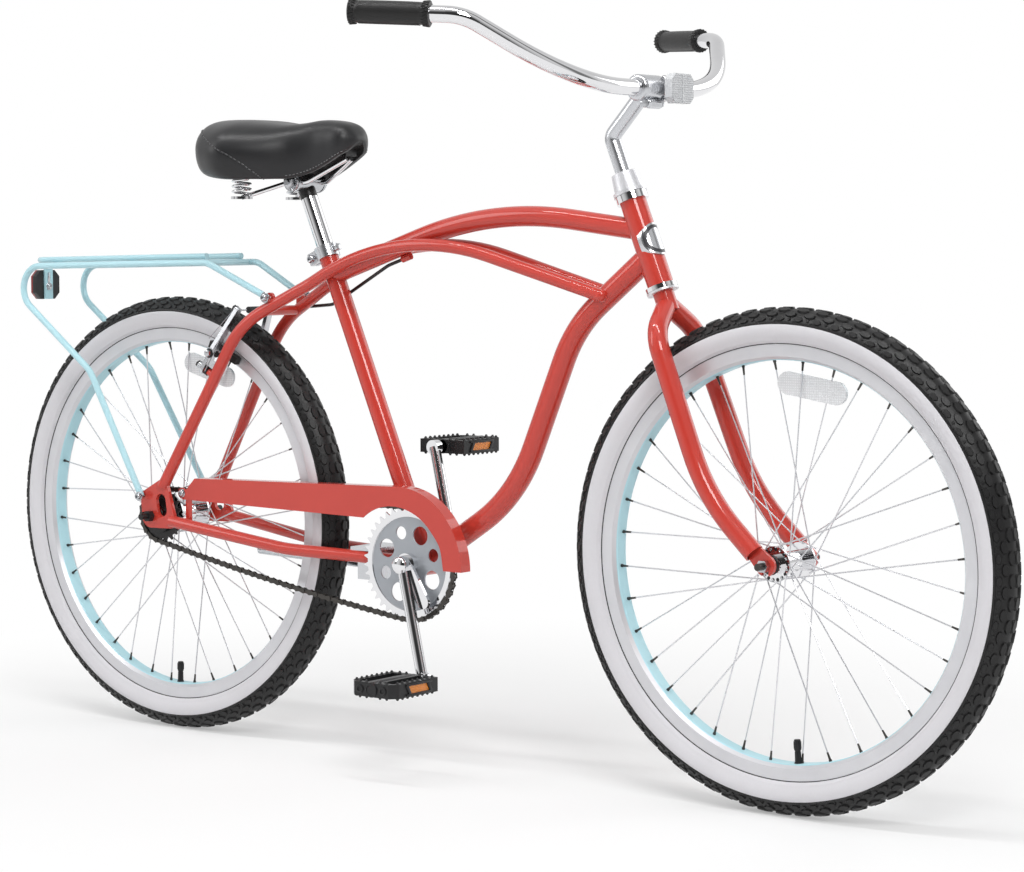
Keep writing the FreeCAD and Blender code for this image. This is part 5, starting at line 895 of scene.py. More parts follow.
    def trim(self) -> None:
        """Spoke heads and holes in the flanges, and the dust caps at the hub's ends."""
        hub = self.hub
        mould = Mould()
        for side in SIDES.values():
            face = hub.flange_half + hub.flange_thickness / 2
            for index in range(hub.holes):
                degrees = index * 360 / hub.holes + hub.first_hole
                seat = polar(self.axle, hub.flange_radius - hub.hole_inset, degrees, side * face)
                hole = [(0.0, 0.0), (0.0025, 0.0), (0.0023, 0.0003), (0.0, 0.0003)]
                mould.lathe(hole, seat, Y_AXIS * side, 12, 1)
                if index % 2:
                    head = [(0.0, 0.0), (0.0019, 0.0), (0.0018, 0.0008), (0.0011, 0.0013), (0.0, 0.0014)]
                    mould.lathe(head, seat + Y_AXIS * (side * 0.0002), Y_AXIS * side, 12)
            lip = [(hub.flange_radius - 0.0010, 0.0), (hub.flange_radius + 0.0002, 0.0),
                   (hub.flange_radius + 0.0002, 0.0008), (hub.flange_radius - 0.0010, 0.0008)]
            mould.lathe(lip, self.axle + Y_AXIS * (side * (face - 0.0002)), Y_AXIS * side, 48, ring=True)
        for side, end in ((-1, hub.end_right), (1, hub.end_left)):
            cap = [(0.0086, 0.0), (hub.end_radius - 0.0006, 0.0), (hub.end_radius - 0.0016, 0.0012),
                   (0.0098, 0.0018), (0.0086, 0.0010)]
            mould.lathe(cap, self.axle + Y_AXIS * (side * end), Y_AXIS * side, 32, 1, ring=True)
        mould.piece(f"{self.name}_hub_trim", self.body, [STEEL, BLACK_STEEL])

    def valve(self) -> None:
        """Rubber valve stem with a ribbed cap."""
        mould = Mould()
        root = polar(self.axle, self.valve_root, self.valve_angle)
        axis = (self.axle - root).normalized()
        mould.lathe(self.valve_stem, root, axis, 20)
        for index in range(self.cap_ribs):
            turn = Matrix.Rotation(math.tau * index / self.cap_ribs, 3, axis)
            out = turn @ Y_AXIS
            mould.bar(root + axis * 0.0215 + out * 0.0048, root + axis * 0.0308 + out * 0.0048, 0.0005, 6)
        mould.piece(f"{self.name}_valve", self.body, [PLASTIC])


# Frame
@dataclass(frozen=True)
class FrameSizes:
    """Places of the bolts and screws on the frame."""

    collar: Vector = point(-0.2482, 0.0, 0.7424)
    collar_height: float = 0.018
    eyelet: Vector = point(-0.561, 0.0766, 0.363)
    lug: Vector = point(-0.327, 0.046, 0.668)
    guard_screw: Vector = point(-0.4955, -0.0510, 0.3696)
    stand_bolt: Vector = point(-0.1502, 0.0, 0.2557)
    badge: Vector = point(0.3238, 0.0, 0.74715)
    badge_half: float = 0.023
    badge_radius: float = 0.0203
    badge_turn: float = 1.3
    badge_band: Pair = (0.68, 0.88)
    axle_end: float = 0.0049
    ear: float = 0.0245
    ear_half: float = 0.009
    ear_screw: Pair = (0.0064, 0.006)
    ear_bolt: float = 0.0030
    front_lug: float = 0.0208
    front_lug_sizes: Triple = (0.0085, 0.011, 0.010)
    eyelet_screw: Pair = (0.0052, 0.0048)
    eyelet_washer: Pair = (0.0072, 0.0012)
    lug_screw: Pair = (0.0058, 0.0050)
    lug_washer: Pair = (0.0080, 0.0012)
    guard_head: Pair = (0.0050, 0.0034)
    guard_washer: Pair = (0.0068, 0.0010)


class FrameSet(Assembly):
    """Painted frame and fork with the fittings that hold other parts."""

    painted = (
        "head_tube", "bottom_bracket_shell", "seat_tube", "top_tube", "down_tube", "twin_tubes", "chainstays",
        "dropouts", "frame_fittings", "chainguard", "fork",
    )
    paint = {
        **dict.fromkeys(painted, FRAME_PAINT),
        "seat_collar": SATIN,
        "headset_cups": CHROME,
        "headset_cover": COVER,
        "rear_axle": BLACK_STEEL,
        "bottom_bracket_cups": CHROME,
        "kickstand_bracket": SATIN,
        "kickstand_leg": SATIN,
    }

    def __init__(self) -> None:
        """Takes the sizes of the frame."""
        self.sizes = FrameSizes()

    def dress(self) -> None:
        """Paints the nodes; the badge has a dark band and the front axle's ends are dark."""
        super().dress()
        shader = Shader("head_badge")
        sizes = self.sizes
        high = shader.position(sizes.badge, STEER_UP / sizes.badge_half)
        turn = shader.maths("ARCSINE", shader.position(sizes.badge, Y_AXIS / sizes.badge_radius))
        reach = shader.length(high, shader.maths("MULTIPLY", turn, 1 / sizes.badge_turn))
        band = shader.maths("MULTIPLY", shader.maths("GREATER_THAN", reach, sizes.badge_band[0]),
                            shader.maths("LESS_THAN", reach, sizes.badge_band[1]))
        PAINTS.dress("head_badge", shader.pair(SATIN, BADGE_EDGE, band))
        axle = Shader("front_axle")
        radius = axle.length(axle.position(FRONT_AXLE, X_AXIS), axle.position(FRONT_AXLE, Z_AXIS))
        PAINTS.dress("front_axle", axle.pair(STEEL, DARK_STEEL, axle.maths("LESS_THAN", radius, sizes.axle_end)))

    def build(self) -> None:
        """Bolts of the collar, the rack, the guard and the stand."""
        sizes = self.sizes
        mould = Mould()
        back = SEAT_UP.cross(Y_AXIS)
        middle = sizes.collar - SEAT_UP * (sizes.collar_height / 2)
        ear = middle + back * sizes.ear
        half = Y_AXIS * sizes.ear_half
        mould.hexagon(ear + half, Y_AXIS, 0.0062, 0.005, washer=0.007)
        mould.screw(ear - half, -Y_AXIS, sizes.ear_screw)
        mould.bar(ear - half, ear + half, sizes.ear_bolt, 16)
        front = middle - back * sizes.front_lug
        mould.block(front, (back, Y_AXIS, SEAT_UP), sizes.front_lug_sizes, 0.0022, material=1)
        for side in SIDES.values():
            flip = Vector((1.0, side, 1.0))
            out = Y_AXIS * side
            mould.screw(sizes.eyelet * flip, out, sizes.eyelet_screw, sizes.eyelet_washer)
            mould.screw(sizes.lug * flip, out, sizes.lug_screw, sizes.lug_washer)
        mould.screw(sizes.guard_screw, -Y_AXIS, sizes.guard_head, sizes.guard_washer)
        mould.hexagon(sizes.stand_bolt, -Z_AXIS, 0.0085, 0.0055, washer=0.0115)
        mould.piece("frame_bolts", "frame", [STEEL, SATIN])


# Steering
@dataclass(frozen=True)
class GripSizes:
    """A grip on the bar's end."""

    length: float = 0.107
    body: float = 0.0146
    collar: float = 0.0165
    end: Vector = point(0.1097, 0.3555, 1.0450)
    corner: Vector = point(0.2420, 0.2936, 1.0376)
    stitches: int = 15
    zigzags: int = 22
    bore: float = 0.0113
    overhang: float = 0.003
    lace: float = 0.0084
    lace_margin: float = 0.0008
    lace_wire: float = 0.0006
    seam_start: float = 0.014
    seam_pitch: float = 0.0054
    stitch: float = 0.0044
    stitch_half: float = 0.0030
    stitch_wire: float = 0.00055


@dataclass(frozen=True)
class StemSizes:
    """The stem's clamp, and the reflector beside it."""

    clamp: Vector = point(0.3237, 0.0, 0.9544)
    ears: Vector = point(0.008, 0.0, -0.0200)
    ear_half: float = 0.016
    shoulder: float = 0.022
    lens: Vector = point(0.3587, 0.034, 0.9544)
    lens_half: float = 0.0192
    lens_back: float = 0.3579
    bracket: Vector = point(0.3368, 0.0222, 0.9544)
    bracket_screw: Pair = (0.0046, 0.0042)
    screw_gap: float = 0.0135


class Cockpit(Assembly):
    """Stem, handlebar, stitched grips and the front reflector."""

    paint = {
        "stem": SATIN,
        "handlebar": CHROME,
        "grips": GRIP_VINYL,
        "front_reflector_bracket": PLASTIC,
    }

    def __init__(self) -> None:
        """Takes the sizes of the grips and the stem."""
        self.sizes = GripSizes()
        self.stem = StemSizes()

    def dress(self) -> None:
        """Paints the nodes; the reflector has prisms in front and smooth sides."""
        super().dress()
        shader = Shader("front_reflector")
        face = shader.maths("LESS_THAN", shader.position(X_AXIS * self.stem.lens_back, X_AXIS), 0.0)
        PAINTS.dress("front_reflector", shader.pair(CLEAR_LENS, LENS_SIDE, face))

    def build(self) -> None:
        """Grips with their lacing, the stem's bolts and the reflector's frame."""
        for label, side in SIDES.items():
            self.grip(label, side)
        self.bolts()
        self.reflector()

    def grip(self, label: str, side: int) -> None:
        """Padded wrap with laced ends and a stitched seam underneath.

        Args:
            label: Name of the side.
            side: Sign of Y on that side.
        """
        sizes = self.sizes
        flip = Vector((1.0, side, 1.0))
        end = sizes.end * flip
        axis = (end - sizes.corner * flip).normalized()
        start = end - axis * (sizes.length - sizes.overhang)
        total, body, collar = sizes.length, sizes.body, sizes.collar
        mould = Mould()
        wrap = [(sizes.bore, 0.0), (collar - 0.0012, 0.0), (collar, 0.0012), (collar, 0.0052),
                (collar - 0.0006, 0.0070), (body + 0.0008, 0.0086), (body - 0.0002, 0.0104), (body, 0.0140),
                (body + 0.0003, 0.030), (body + 0.0004, 0.052), (body + 0.0003, 0.076), (body, total - 0.0140),
                (body - 0.0002, total - 0.0104), (body + 0.0008, total - 0.0086), (collar - 0.0006, total - 0.0070),
                (collar, total - 0.0052), (collar, total - 0.0020), (collar - 0.0016, total), (0.0, total)]
        mould.lathe(wrap, start, axis, 48)
        below = (-Z_AXIS - axis * axis.dot(-Z_AXIS)).normalized()
        beside = axis.cross(below)
        for first in (sizes.lace_margin, total - sizes.lace_margin - sizes.lace):
            for index in range(sizes.zigzags):
                for lean in (0, 1):
                    turns = [math.tau * (index + 0.5 * (lean + part)) / sizes.zigzags for part in (0, 1)]
                    along = (first, first + sizes.lace) if lean == 0 else (first + sizes.lace, first)
                    ends = []
                    for turn, run in zip(turns, along):
                        deep = run if first < 0.01 else total - run
                        radius = (collar if deep < 0.0064 else body + 0.0010) + 0.0002
                        out = below * math.cos(turn) + beside * math.sin(turn)
                        ends.append(start + axis * run + out * radius)
                    mould.bar(ends[0], ends[1], sizes.lace_wire, 6, material=1)
        for index in range(sizes.stitches):
            run = sizes.seam_start + index * sizes.seam_pitch
            seam = below * (body + 0.0002)
            for lean in (-1, 1):
                reach = beside * (sizes.stitch_half * lean)
                near = start + axis * run + seam - reach
                far = start + axis * (run + sizes.stitch) + seam + reach
                mould.bar(near, far, sizes.stitch_wire, 6, material=1)
            for lean in (-1, 1):
                hem = start + axis * (run + sizes.stitch / 2) + below * (body - 0.0010) + beside * (0.0044 * lean)
                mould.bar(hem - axis * (sizes.seam_pitch / 2), hem + axis * (sizes.seam_pitch / 2), 0.0011, 8)
        item = mould.piece(f"grip_{label}_wrap", "steering", [GRIP_VINYL, LACE])
        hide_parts("grips")

    def bolts(self) -> None:
        """Pinch bolt of the clamp in its ears, and the clamp's rounded shoulders."""
        mould = Mould()
        stem = self.stem
        below = stem.clamp + stem.ears
        lean = (Vector((0.94, 0.0, -0.34)), Y_AXIS, Vector((0.34, 0.0, 0.94)))
        mould.block(below, lean, (0.0155, 0.032, 0.013), 0.0042, 3, 1)
        for side in SIDES.values():
            mould.hexagon(below + Y_AXIS * (side * stem.ear_half), Y_AXIS * side, 0.0060, 0.0050, washer=0.0066)
        shoulder = [(0.0112, 0.0), (0.0180, 0.0), (0.0178, 0.0016), (0.0168, 0.0036), (0.0150, 0.0050),
                    (0.0128, 0.0056), (0.0112, 0.0056)]
        mould.lathe(shoulder, stem.clamp - Y_AXIS * stem.shoulder, -Y_AXIS, 40, 1, ring=True)
        mould.piece("stem_bolts", "steering", [STEEL, SATIN])

    def reflector(self) -> None:
        """Ridge on the reflector's face, its rim, and the screws of its bracket."""
        mould = Mould()
        stem = self.stem
        rise = Z_AXIS * stem.lens_half
        mould.bar(stem.lens - rise, stem.lens + rise, 0.0010, 8, material=1)
        for high in (-1, 1):
            edge = stem.lens + Vector((-0.0004, 0.0, high * stem.lens_half))
            mould.block(edge, (Y_AXIS, X_AXIS, Z_AXIS), (0.0330, 0.0016, 0.0012), 0.0004, 2, 1)
            seat = stem.bracket + Z_AXIS * (high * stem.screw_gap)
            mould.bar(seat + Y_AXIS * 0.014, seat, 0.0038, 16, material=2)
            mould.screw(seat, -Y_AXIS, stem.bracket_screw)
        mould.piece("front_reflector_trim", "steering",
                    [CHROME, LENS_SIDE, PLASTIC])


# Drive
class Drive(Assembly):
    """Chainring, chain, freewheel and cranks."""

    paint = {
        "chain": DARK_STEEL,
        "freewheel": BLACK_STEEL,
        "crank_axles": CHROME,
        "crank_arms": CHROME,
    }
    bright_rim = 0.0675
    arm_face = 0.0658
    dome = (
        (0.0130, -0.0004), (0.0128, 0.0014), (0.0121, 0.0032), (0.0108, 0.0048), (0.0088, 0.0060), (0.0060, 0.0069),
        (0.0030, 0.0073), (0.0, 0.0074), (0.0, -0.0004),
    )

    def dress(self) -> None:
        """Paints the nodes; the chainring is dull inside its bright rim."""
        super().dress()
        shader = Shader("chainring")
        radius = shader.length(shader.position(BOTTOM_BRACKET, X_AXIS), shader.position(BOTTOM_BRACKET, Z_AXIS))
        rim = shader.maths("GREATER_THAN", radius, self.bright_rim)
        PAINTS.dress("chainring", shader.pair(PLATE, CHROME, rim))

    def build(self) -> None:
        """Rounded elbows where the crank turns into its arms."""
        mould = Mould()
        for side in SIDES.values():
            mould.lathe(self.dome, BOTTOM_BRACKET + Y_AXIS * (side * self.arm_face), Y_AXIS * side, 40)
        mould.piece("crank_elbows", "crank", [CHROME])


@dataclass(frozen=True)
class PedalSizes:
    """A platform pedal."""

    near: float = 0.093
    width: float = 0.095
    depth: float = 0.082
    height: float = 0.020
    lens_middle: float = 0.135
    lens_half: float = 0.022
    lens_height: float = 0.011
    tooth: Triple = (0.0072, 0.0044, 0.0034)
    tooth_inset: float = 0.0045
    tooth_sink: float = 0.0004
    edge_teeth: int = 8
    edge_start: float = 0.007
    edge_pitch: float = 0.0108
    rail_pitch: float = 0.0120
    frame_proud: float = 0.0006
    socket_ahead: float = 0.0205


class Pedal(Assembly):
    """Platform pedal with a round core, gripping teeth and amber reflectors."""

    barrel = (
        (0.0052, 0.0), (0.0096, 0.0), (0.0108, 0.0015), (0.0108, 0.012), (0.0114, 0.016), (0.0114, 0.078),
        (0.0108, 0.082), (0.0106, 0.0957), (0.0098, 0.0972), (0.0074, 0.0972), (0.0070, 0.0962), (0.0, 0.0962),
    )
    socket = ((0.0062, 0.0), (0.0062, 0.0016), (0.0046, 0.0020), (0.0036, 0.0014), (0.0036, 0.0))

    def __init__(self, label: str, side: int, middle: Vector) -> None:
        """Starts a pedal.

        Args:
            label: Name of the side.
            side: Sign of Y on that side.
            middle: Point of its axle in the bicycle's middle plane.
        """
        self.label = label
        self.side = side
        self.middle = middle
        self.sizes = PedalSizes()
        self.paint = {f"pedal_{label}": PLASTIC, f"pedal_reflectors_{label}": AMBER_LENS}

    def at(self, ahead: float, across: float, up: float) -> Vector:
        """Point beside the pedal's middle, with the distance from the bicycle's middle plane."""
        return self.middle + Vector((ahead, self.side * across, up))

    def build(self) -> None:
        """Core barrel, end cap, teeth, lens frames and outer sockets."""
        sizes = self.sizes
        mould = Mould()
        axis = Y_AXIS * self.side
        mould.lathe(self.barrel, self.at(0.0, sizes.near, 0.0), axis, 28)
        half = sizes.depth / 2
        top = sizes.height / 2 - sizes.tooth_sink
        far = sizes.near + sizes.width
        inset = sizes.tooth_inset
        for up in (1, -1):
            for edge in (-1, 1):
                for index in range(sizes.edge_teeth):
                    run = sizes.near + sizes.edge_start + index * sizes.edge_pitch
                    mould.stud(self.at(edge * (half - inset), run, up * top), X_AXIS, Z_AXIS * up, sizes.tooth, 4, 0.4)
            for rail in (sizes.near + inset, far - inset):
                for index in (-2, -1, 1, 2):
                    foot = self.at(index * sizes.rail_pitch, rail, up * top)
                    mould.stud(foot, Y_AXIS, Z_AXIS * up, sizes.tooth, 4, 0.4)
        lean = Vector((0.0, self.side * 0.5, 0.86)).normalized()
        for edge in (-1, 1):
            face = edge * (half + sizes.frame_proud)
            for up in (1, -1):
                lip = self.at(face, sizes.lens_middle, up * (sizes.lens_height / 2 + 0.0014))
                mould.block(lip, (Y_AXIS, X_AXIS, Z_AXIS), (sizes.lens_half * 2 + 0.012, 0.0030, 0.0030), 0.0008)
            for end in (1, -1):
                post = self.at(face, sizes.lens_middle + end * (sizes.lens_half + 0.0006), 0.0)
                mould.block(post, (lean, X_AXIS, lean.cross(X_AXIS)), (0.0150, 0.0028, 0.0050), 0.0008)
            mould.lathe(self.socket, self.at(edge * sizes.socket_ahead, far - 0.0004, 0.0), axis, 24, ring=True)
        mould.piece(f"pedal_{self.label}_grip", f"pedal_{self.label}", [PLASTIC])


# Rack
class Rack(Assembly):
    """Rear rack with its reflector."""

    paint = {
        "rack_rails": RACK_PAINT,
        "rack_platform": RACK_PAINT,
        "rear_reflector_shell": PLASTIC,
        "rear_reflector_lens": RED_LENS,
    }
    hanger = Vector((-0.8340, 0.0, 0.6790))
    hanger_screw = (0.0046, 0.0036)
    hanger_washer = (0.0062, 0.0010)
    slot = Vector((-0.8339, 0.0, 0.6930))
    slot_sizes = (0.0006, 0.0052, 0.0150)

    def build(self) -> None:
        """Slot and screw of the reflector's hanger."""
        mould = Mould()
        mould.block(self.slot, (X_AXIS, Y_AXIS, Z_AXIS), self.slot_sizes, 0.0002, 2, 1)
        mould.screw(self.hanger, X_AXIS, self.hanger_screw, self.hanger_washer)
        mould.piece("rack_reflector_bolt", "frame", [STEEL, BLACK_STEEL])


# Brake
@dataclass(frozen=True)
class BrakeSizes:
    """Places on the left brake arm."""

    boss: Vector = point(-0.4237, 0.0515, 0.5476)
    up: Vector = point(0.5075, 0.0, 0.8616)
    out: Vector = point(-0.8616, 0.0, 0.5075)
    top: Vector = point(-0.3917, 0.0352, 0.6479)
    pad: Vector = point(-0.4294, 0.0290, 0.5838)
    pad_washers: tuple[Triple, ...] = (
        (0.0136, 0.0072, 0.0024), (0.0164, 0.0062, 0.0024), (0.0285, 0.0072, 0.0016),
    )
    pad_nut: float = 0.0301
    pivot: Triple = (0.0266, 0.0282, 0.0362)
    anchor: Pair = (0.0033, 0.0045)
    spring: float = 0.0175
    spring_turns: int = 3
    spring_pitch: float = 0.0014
    spring_leg: float = 0.056
    boot_front: float = -0.386
    bare_wire: float = -0.0121
    wire_tail: float = 0.0060


class Brake(Assembly):
    """Rear brake arms, pads and cable."""

    paint = {
        "brake_arm_right": SATIN,
        "brake_arm_left": SATIN,
        "brake_pad_right": PAD_RUBBER,
        "brake_pad_left": PAD_RUBBER,
    }

    def __init__(self) -> None:
        """Takes the sizes of the brake."""
        self.sizes = BrakeSizes()

    def dress(self) -> None:
        """Paints the nodes; the cable is bare wire beside the boot and black elsewhere."""
        super().dress()
        shader = Shader("brake_cable")
        behind = shader.maths("LESS_THAN", shader.position(Vector(), X_AXIS), self.sizes.boot_front)
        bare = shader.maths("LESS_THAN", shader.position(Vector(), Y_AXIS), self.sizes.bare_wire)
        PAINTS.dress("brake_cable", shader.pair(HOUSING, STEEL, shader.maths("MULTIPLY", behind, bare)))

    def build(self) -> None:
        """Bolts, washers and springs of both arms."""
        for label, side in SIDES.items():
            self.fittings(label, side)

    def fittings(self, label: str, side: int) -> None:
        """Pivot bolt, pad bolt with its washers, cable anchor and return spring of one arm.

        Args:
            label: Name of the side.
            side: Sign of Y on that side.
        """
        sizes = self.sizes
        flip = Vector((1.0, side, 1.0))
        boss, top, pad = sizes.boss * flip, sizes.top * flip, sizes.pad * flip
        out, up = sizes.out, sizes.up
        across = Y_AXIS * side
        mould = Mould()
        seat, bolt, head = (boss + out * run for run in sizes.pivot)
        mould.washer(seat, out, 0.0082, 0.0016)
        mould.bar(bolt, head, 0.0056, 20)
        mould.hexagon(head, out, 0.0056, 0.0040)
        for run, radius, thickness in sizes.pad_washers:
            mould.washer(pad + across * run, across, radius, thickness, 1)
        mould.hexagon(pad + across * sizes.pad_nut, across, 0.0056, 0.0048)
        mould.washer(top + out * sizes.anchor[0], out, 0.0056, 0.0012)
        mould.hexagon(top + out * sizes.anchor[1], out, 0.0048, 0.0042)
        spring = boss + out * sizes.spring
        coil = [(0.0054, 0.0), (0.0066, 0.0), (0.0066, 0.0010), (0.0054, 0.0010)]
        for index in range(sizes.spring_turns):
            mould.lathe(coil, spring - out * (sizes.spring_pitch * index), out, 20, 1, ring=True)
        leg = spring + across * 0.0030 + up * sizes.spring_leg
        mould.bar(spring + across * 0.0060, leg, 0.0008, 8, material=1)
        if side < 0:
            tail = top + out * sizes.wire_tail
            mould.bar(tail, tail + Vector((-0.050, -0.004, -0.046)), 0.0006, 6)
            mould.bar(tail, tail + Vector((-0.020, -0.006, -0.040)), 0.0005, 6)
        mould.piece(f"brake_{label}_fittings", f"brake_{label}", [STEEL, BLACK_STEEL])


# Saddle
@dataclass(frozen=True)
class SaddleSizes:
    """Padded top: its place and the sections from the tail to the nose.

    A section gives its share of the length, half width, floor and crown. A hollow gives its share of the length and
    the height of its ceiling.
    """

    rear: float = -0.4324
    floor: float = 0.8469
    length: float = 0.254
    half: float = 0.118
    height: float = 0.084
    tail_round: float = 0.022
    nose_round: float = 0.014
    lip: float = 0.0055
    foot: float = 0.82
    waist: float = 0.42
    fullness: float = 0.66
    ceiling_end: float = 0.30
    ceiling_width: float = 0.90
    lip_start: float = 0.46
    lip_end: float = 0.55
    post_top: Vector = point(-0.2864, 0.0, 0.8315)
    # Length of the post's top that is painted black: a painted dark reflection in the chrome.
    post_painted_reflection: float = 0.020
    clamp: Vector = point(-0.2864, 0.0, 0.8365)
    clamp_discs: tuple[Pair, ...] = ((0.0265, 0.0150), (0.0300, 0.0135))
    clamp_disc: float = 0.0030
    clamp_teeth: int = 24
    clamp_nut: float = 0.0335
    spring_middle: Pair = (-0.3584, 0.060)
    spring_radius: float = 0.013
    spring_wire: float = 0.002
    spring_turns: int = 3
    spring_keep: float = 0.71
    stations: tuple[tuple[float, float, float, float], ...] = (
        (0.0, 0.58, 0.30, 0.92),
        (0.03, 0.72, 0.17, 0.97),
        (0.08, 0.86, 0.06, 0.995),
        (0.16, 0.95, -0.02, 1.00),
        (0.295, 1.00, -0.07, 0.985),
        (0.40, 0.88, -0.07, 0.945),
        (0.52, 0.68, -0.07, 0.90),
        (0.63, 0.47, -0.05, 0.91),
        (0.74, 0.35, 0.05, 0.95),
        (0.84, 0.31, 0.19, 0.94),
        (0.93, 0.28, 0.34, 0.88),
        (1.0, 0.17, 0.45, 0.74),
    )
    hollows: tuple[Pair, ...] = (
        (0.0, 0.0), (0.10, 0.04), (0.20, 0.05), (0.40, 0.06), (0.46, 0.18), (0.63, 0.21), (0.74, 0.28), (0.84, 0.39),
        (0.93, 0.49), (0.965, 0.51), (0.985, 0.49), (1.0, 0.46),
    )
    seam: tuple[Pair, ...] = (
        (0.022, 0.93), (0.055, 0.82), (0.11, 0.73), (0.19, 0.64), (0.28, 0.53), (0.36, 0.41), (0.43, 0.26),
        (0.48, 0.10), (0.50, 0.0),
    )


class Saddle(Assembly):
    """Wide sprung saddle on its post."""

    paint = {
        "saddle_clamp": STEEL,
        "saddle_rails": CHROME,
        "saddle_springs": CHROME,
        "saddle_pan": PLASTIC,
        "saddle_cushion": SADDLE_VINYL,
    }

    def __init__(self) -> None:
        """Takes the sizes of the saddle."""
        self.sizes = SaddleSizes()

    def dress(self) -> None:
        """Paints the nodes; the post's top under the clamp is painted black, a painted dark reflection in the chrome.
        """
        super().dress()
        shader = Shader("seatpost")
        # Painted reflection: the post's top is painted black in place of the dark that the chrome reflects there.
        high = shader.position(self.sizes.post_top - SEAT_UP * self.sizes.post_painted_reflection, SEAT_UP)
        PAINTS.dress("seatpost", shader.pair(CHROME, BLACK_STEEL, shader.maths("GREATER_THAN", high, 0.0)))

    @staticmethod
    def between(rows: Sequence[tuple[float, ...]], along: float, column: int) -> float:
        """Smooth value of a table's column at a share of the length.

        Args:
            rows: Rows that start with their share of the length.
            along: Share of the length from the tail.
            column: Column that is read.
        Returns:
            The value between the rows.
        """
        index = max(i for i, row in enumerate(rows[:-1]) if row[0] <= along + 1e-9)
        low, high = rows[index], rows[index + 1]
        before = rows[index - 1] if index else low
        after = rows[index + 2] if index + 2 < len(rows) else high
        span = high[0] - low[0]
        share = (along - low[0]) / span
        slope_low = (high[column] - before[column]) / max(high[0] - before[0], 1e-6) * span
        slope_high = (after[column] - low[column]) / max(after[0] - low[0], 1e-6) * span
        cube, square = share ** 3, share ** 2
        return ((2 * cube - 3 * square + 1) * low[column] + (cube - 2 * square + share) * slope_low
                + (3 * square - 2 * cube) * high[column] + (cube - square) * slope_high)

    def ends(self, along: float) -> float:
        """Share of the full section that is left where the tail and the nose round off."""
        sizes = self.sizes
        tail = min(1.0, along * sizes.length / sizes.tail_round)
        nose = min(1.0, (1.0 - along) * sizes.length / sizes.nose_round)
        return math.sqrt(max(0.0, 1 - (1 - tail) ** 2)) * math.sqrt(max(0.0, 1 - (1 - nose) ** 2))

    def section(self, along: float) -> tuple[float, float, float, float]:
        """Half width, floor, crown and hollow's ceiling at a share of the length, in metres."""
        sizes = self.sizes
        half, low, high = (self.between(sizes.stations, along, column) for column in (1, 2, 3))
        ceiling = max(low, self.between(sizes.hollows, along, 1))
        left = self.ends(along)
        middle = (low + high) / 2
        levels = [sizes.floor + sizes.height * (middle + (level - middle) * left) for level in (low, high, ceiling)]
        return half * sizes.half * math.sqrt(left), levels[0], levels[1], levels[2]

    def flank(self, along: float, height: float, side: int) -> Vector:
        """Point on the side of the cover.

        Args:
            along: Share of the length from the tail.
            height: Share of the section's height.
            side: Sign of Y.
        Returns:
            The point.
        """
        sizes = self.sizes
        half, floor, crown, _ = self.section(along)
        if height >= sizes.waist:
            rise = min(1.0, (height - sizes.waist) / (1 - sizes.waist))
            across = math.sqrt(max(0.0, 1 - rise ** 2)) ** sizes.fullness
        else:
            drop = (sizes.waist - height) / sizes.waist
            across = sizes.foot + (1 - sizes.foot) * math.sqrt(max(0.0, 1 - drop ** 2))
        return Vector((sizes.rear + along * sizes.length, side * across * half, floor + height * (crown - floor)))

    def surface(self, along: float, turn: float) -> Vector:
        """Point of the cover.

        Args:
            along: Share of the length from the tail.
            turn: From -1, under the middle, through 0 on the left side's waist, to 1 on the crown, and on to 3 down
                the right side.
        Returns:
            The point.
        """
        side = 1
        if turn > 1:
            turn = 2 - turn
            side = -1
        sizes = self.sizes
        half, floor, _, ceiling = self.section(along)
        if turn >= 0:
            return self.flank(along, sizes.waist + (1 - sizes.waist) * math.sin(turn * math.pi / 2), side)
        under = turn + 1
        if under >= sizes.lip_end:
            share = (under - sizes.lip_end) / (1 - sizes.lip_end)
            return self.flank(along, sizes.waist * (1 - math.cos(share * math.pi / 2)), side)
        edge = half * sizes.foot
        inner = max(edge - sizes.lip, edge * 0.5)
        x = sizes.rear + along * sizes.length
        if under >= sizes.lip_start:
            share = (under - sizes.lip_start) / (sizes.lip_end - sizes.lip_start)
            return Vector((x, side * (inner + (edge - inner) * share), floor))
        if under >= sizes.ceiling_end:
            share = (under - sizes.ceiling_end) / (sizes.lip_start - sizes.ceiling_end)
            wide = sizes.ceiling_width + (1 - sizes.ceiling_width) * share
            return Vector((x, side * inner * wide, ceiling + (floor - ceiling) * share))
        return Vector((x, side * inner * sizes.ceiling_width * under / sizes.ceiling_end, ceiling))

    def build(self) -> None:
        """Cover, seams, springs and clamp nuts."""
        self.cover()
        self.springs()
        self.clamp()

    def springs(self) -> None:
        """Coil springs that take the place of the CAD springs and ride on the post."""
        low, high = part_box("saddle_springs")
        sizes = self.sizes
        mould = Mould()
        for side in SIDES.values():
            foot = Vector((sizes.spring_middle[0], side * sizes.spring_middle[1], low[2]))
            pitch = (high[2] - low[2] - 2 * sizes.spring_wire) / sizes.spring_turns
            mould.coil(foot, sizes.spring_radius, sizes.spring_wire, sizes.spring_turns, pitch)
        item = mould.piece("saddle_coils", "seatpost", [CHROME], angle=60.0)
        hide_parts("saddle_springs")
        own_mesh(item)

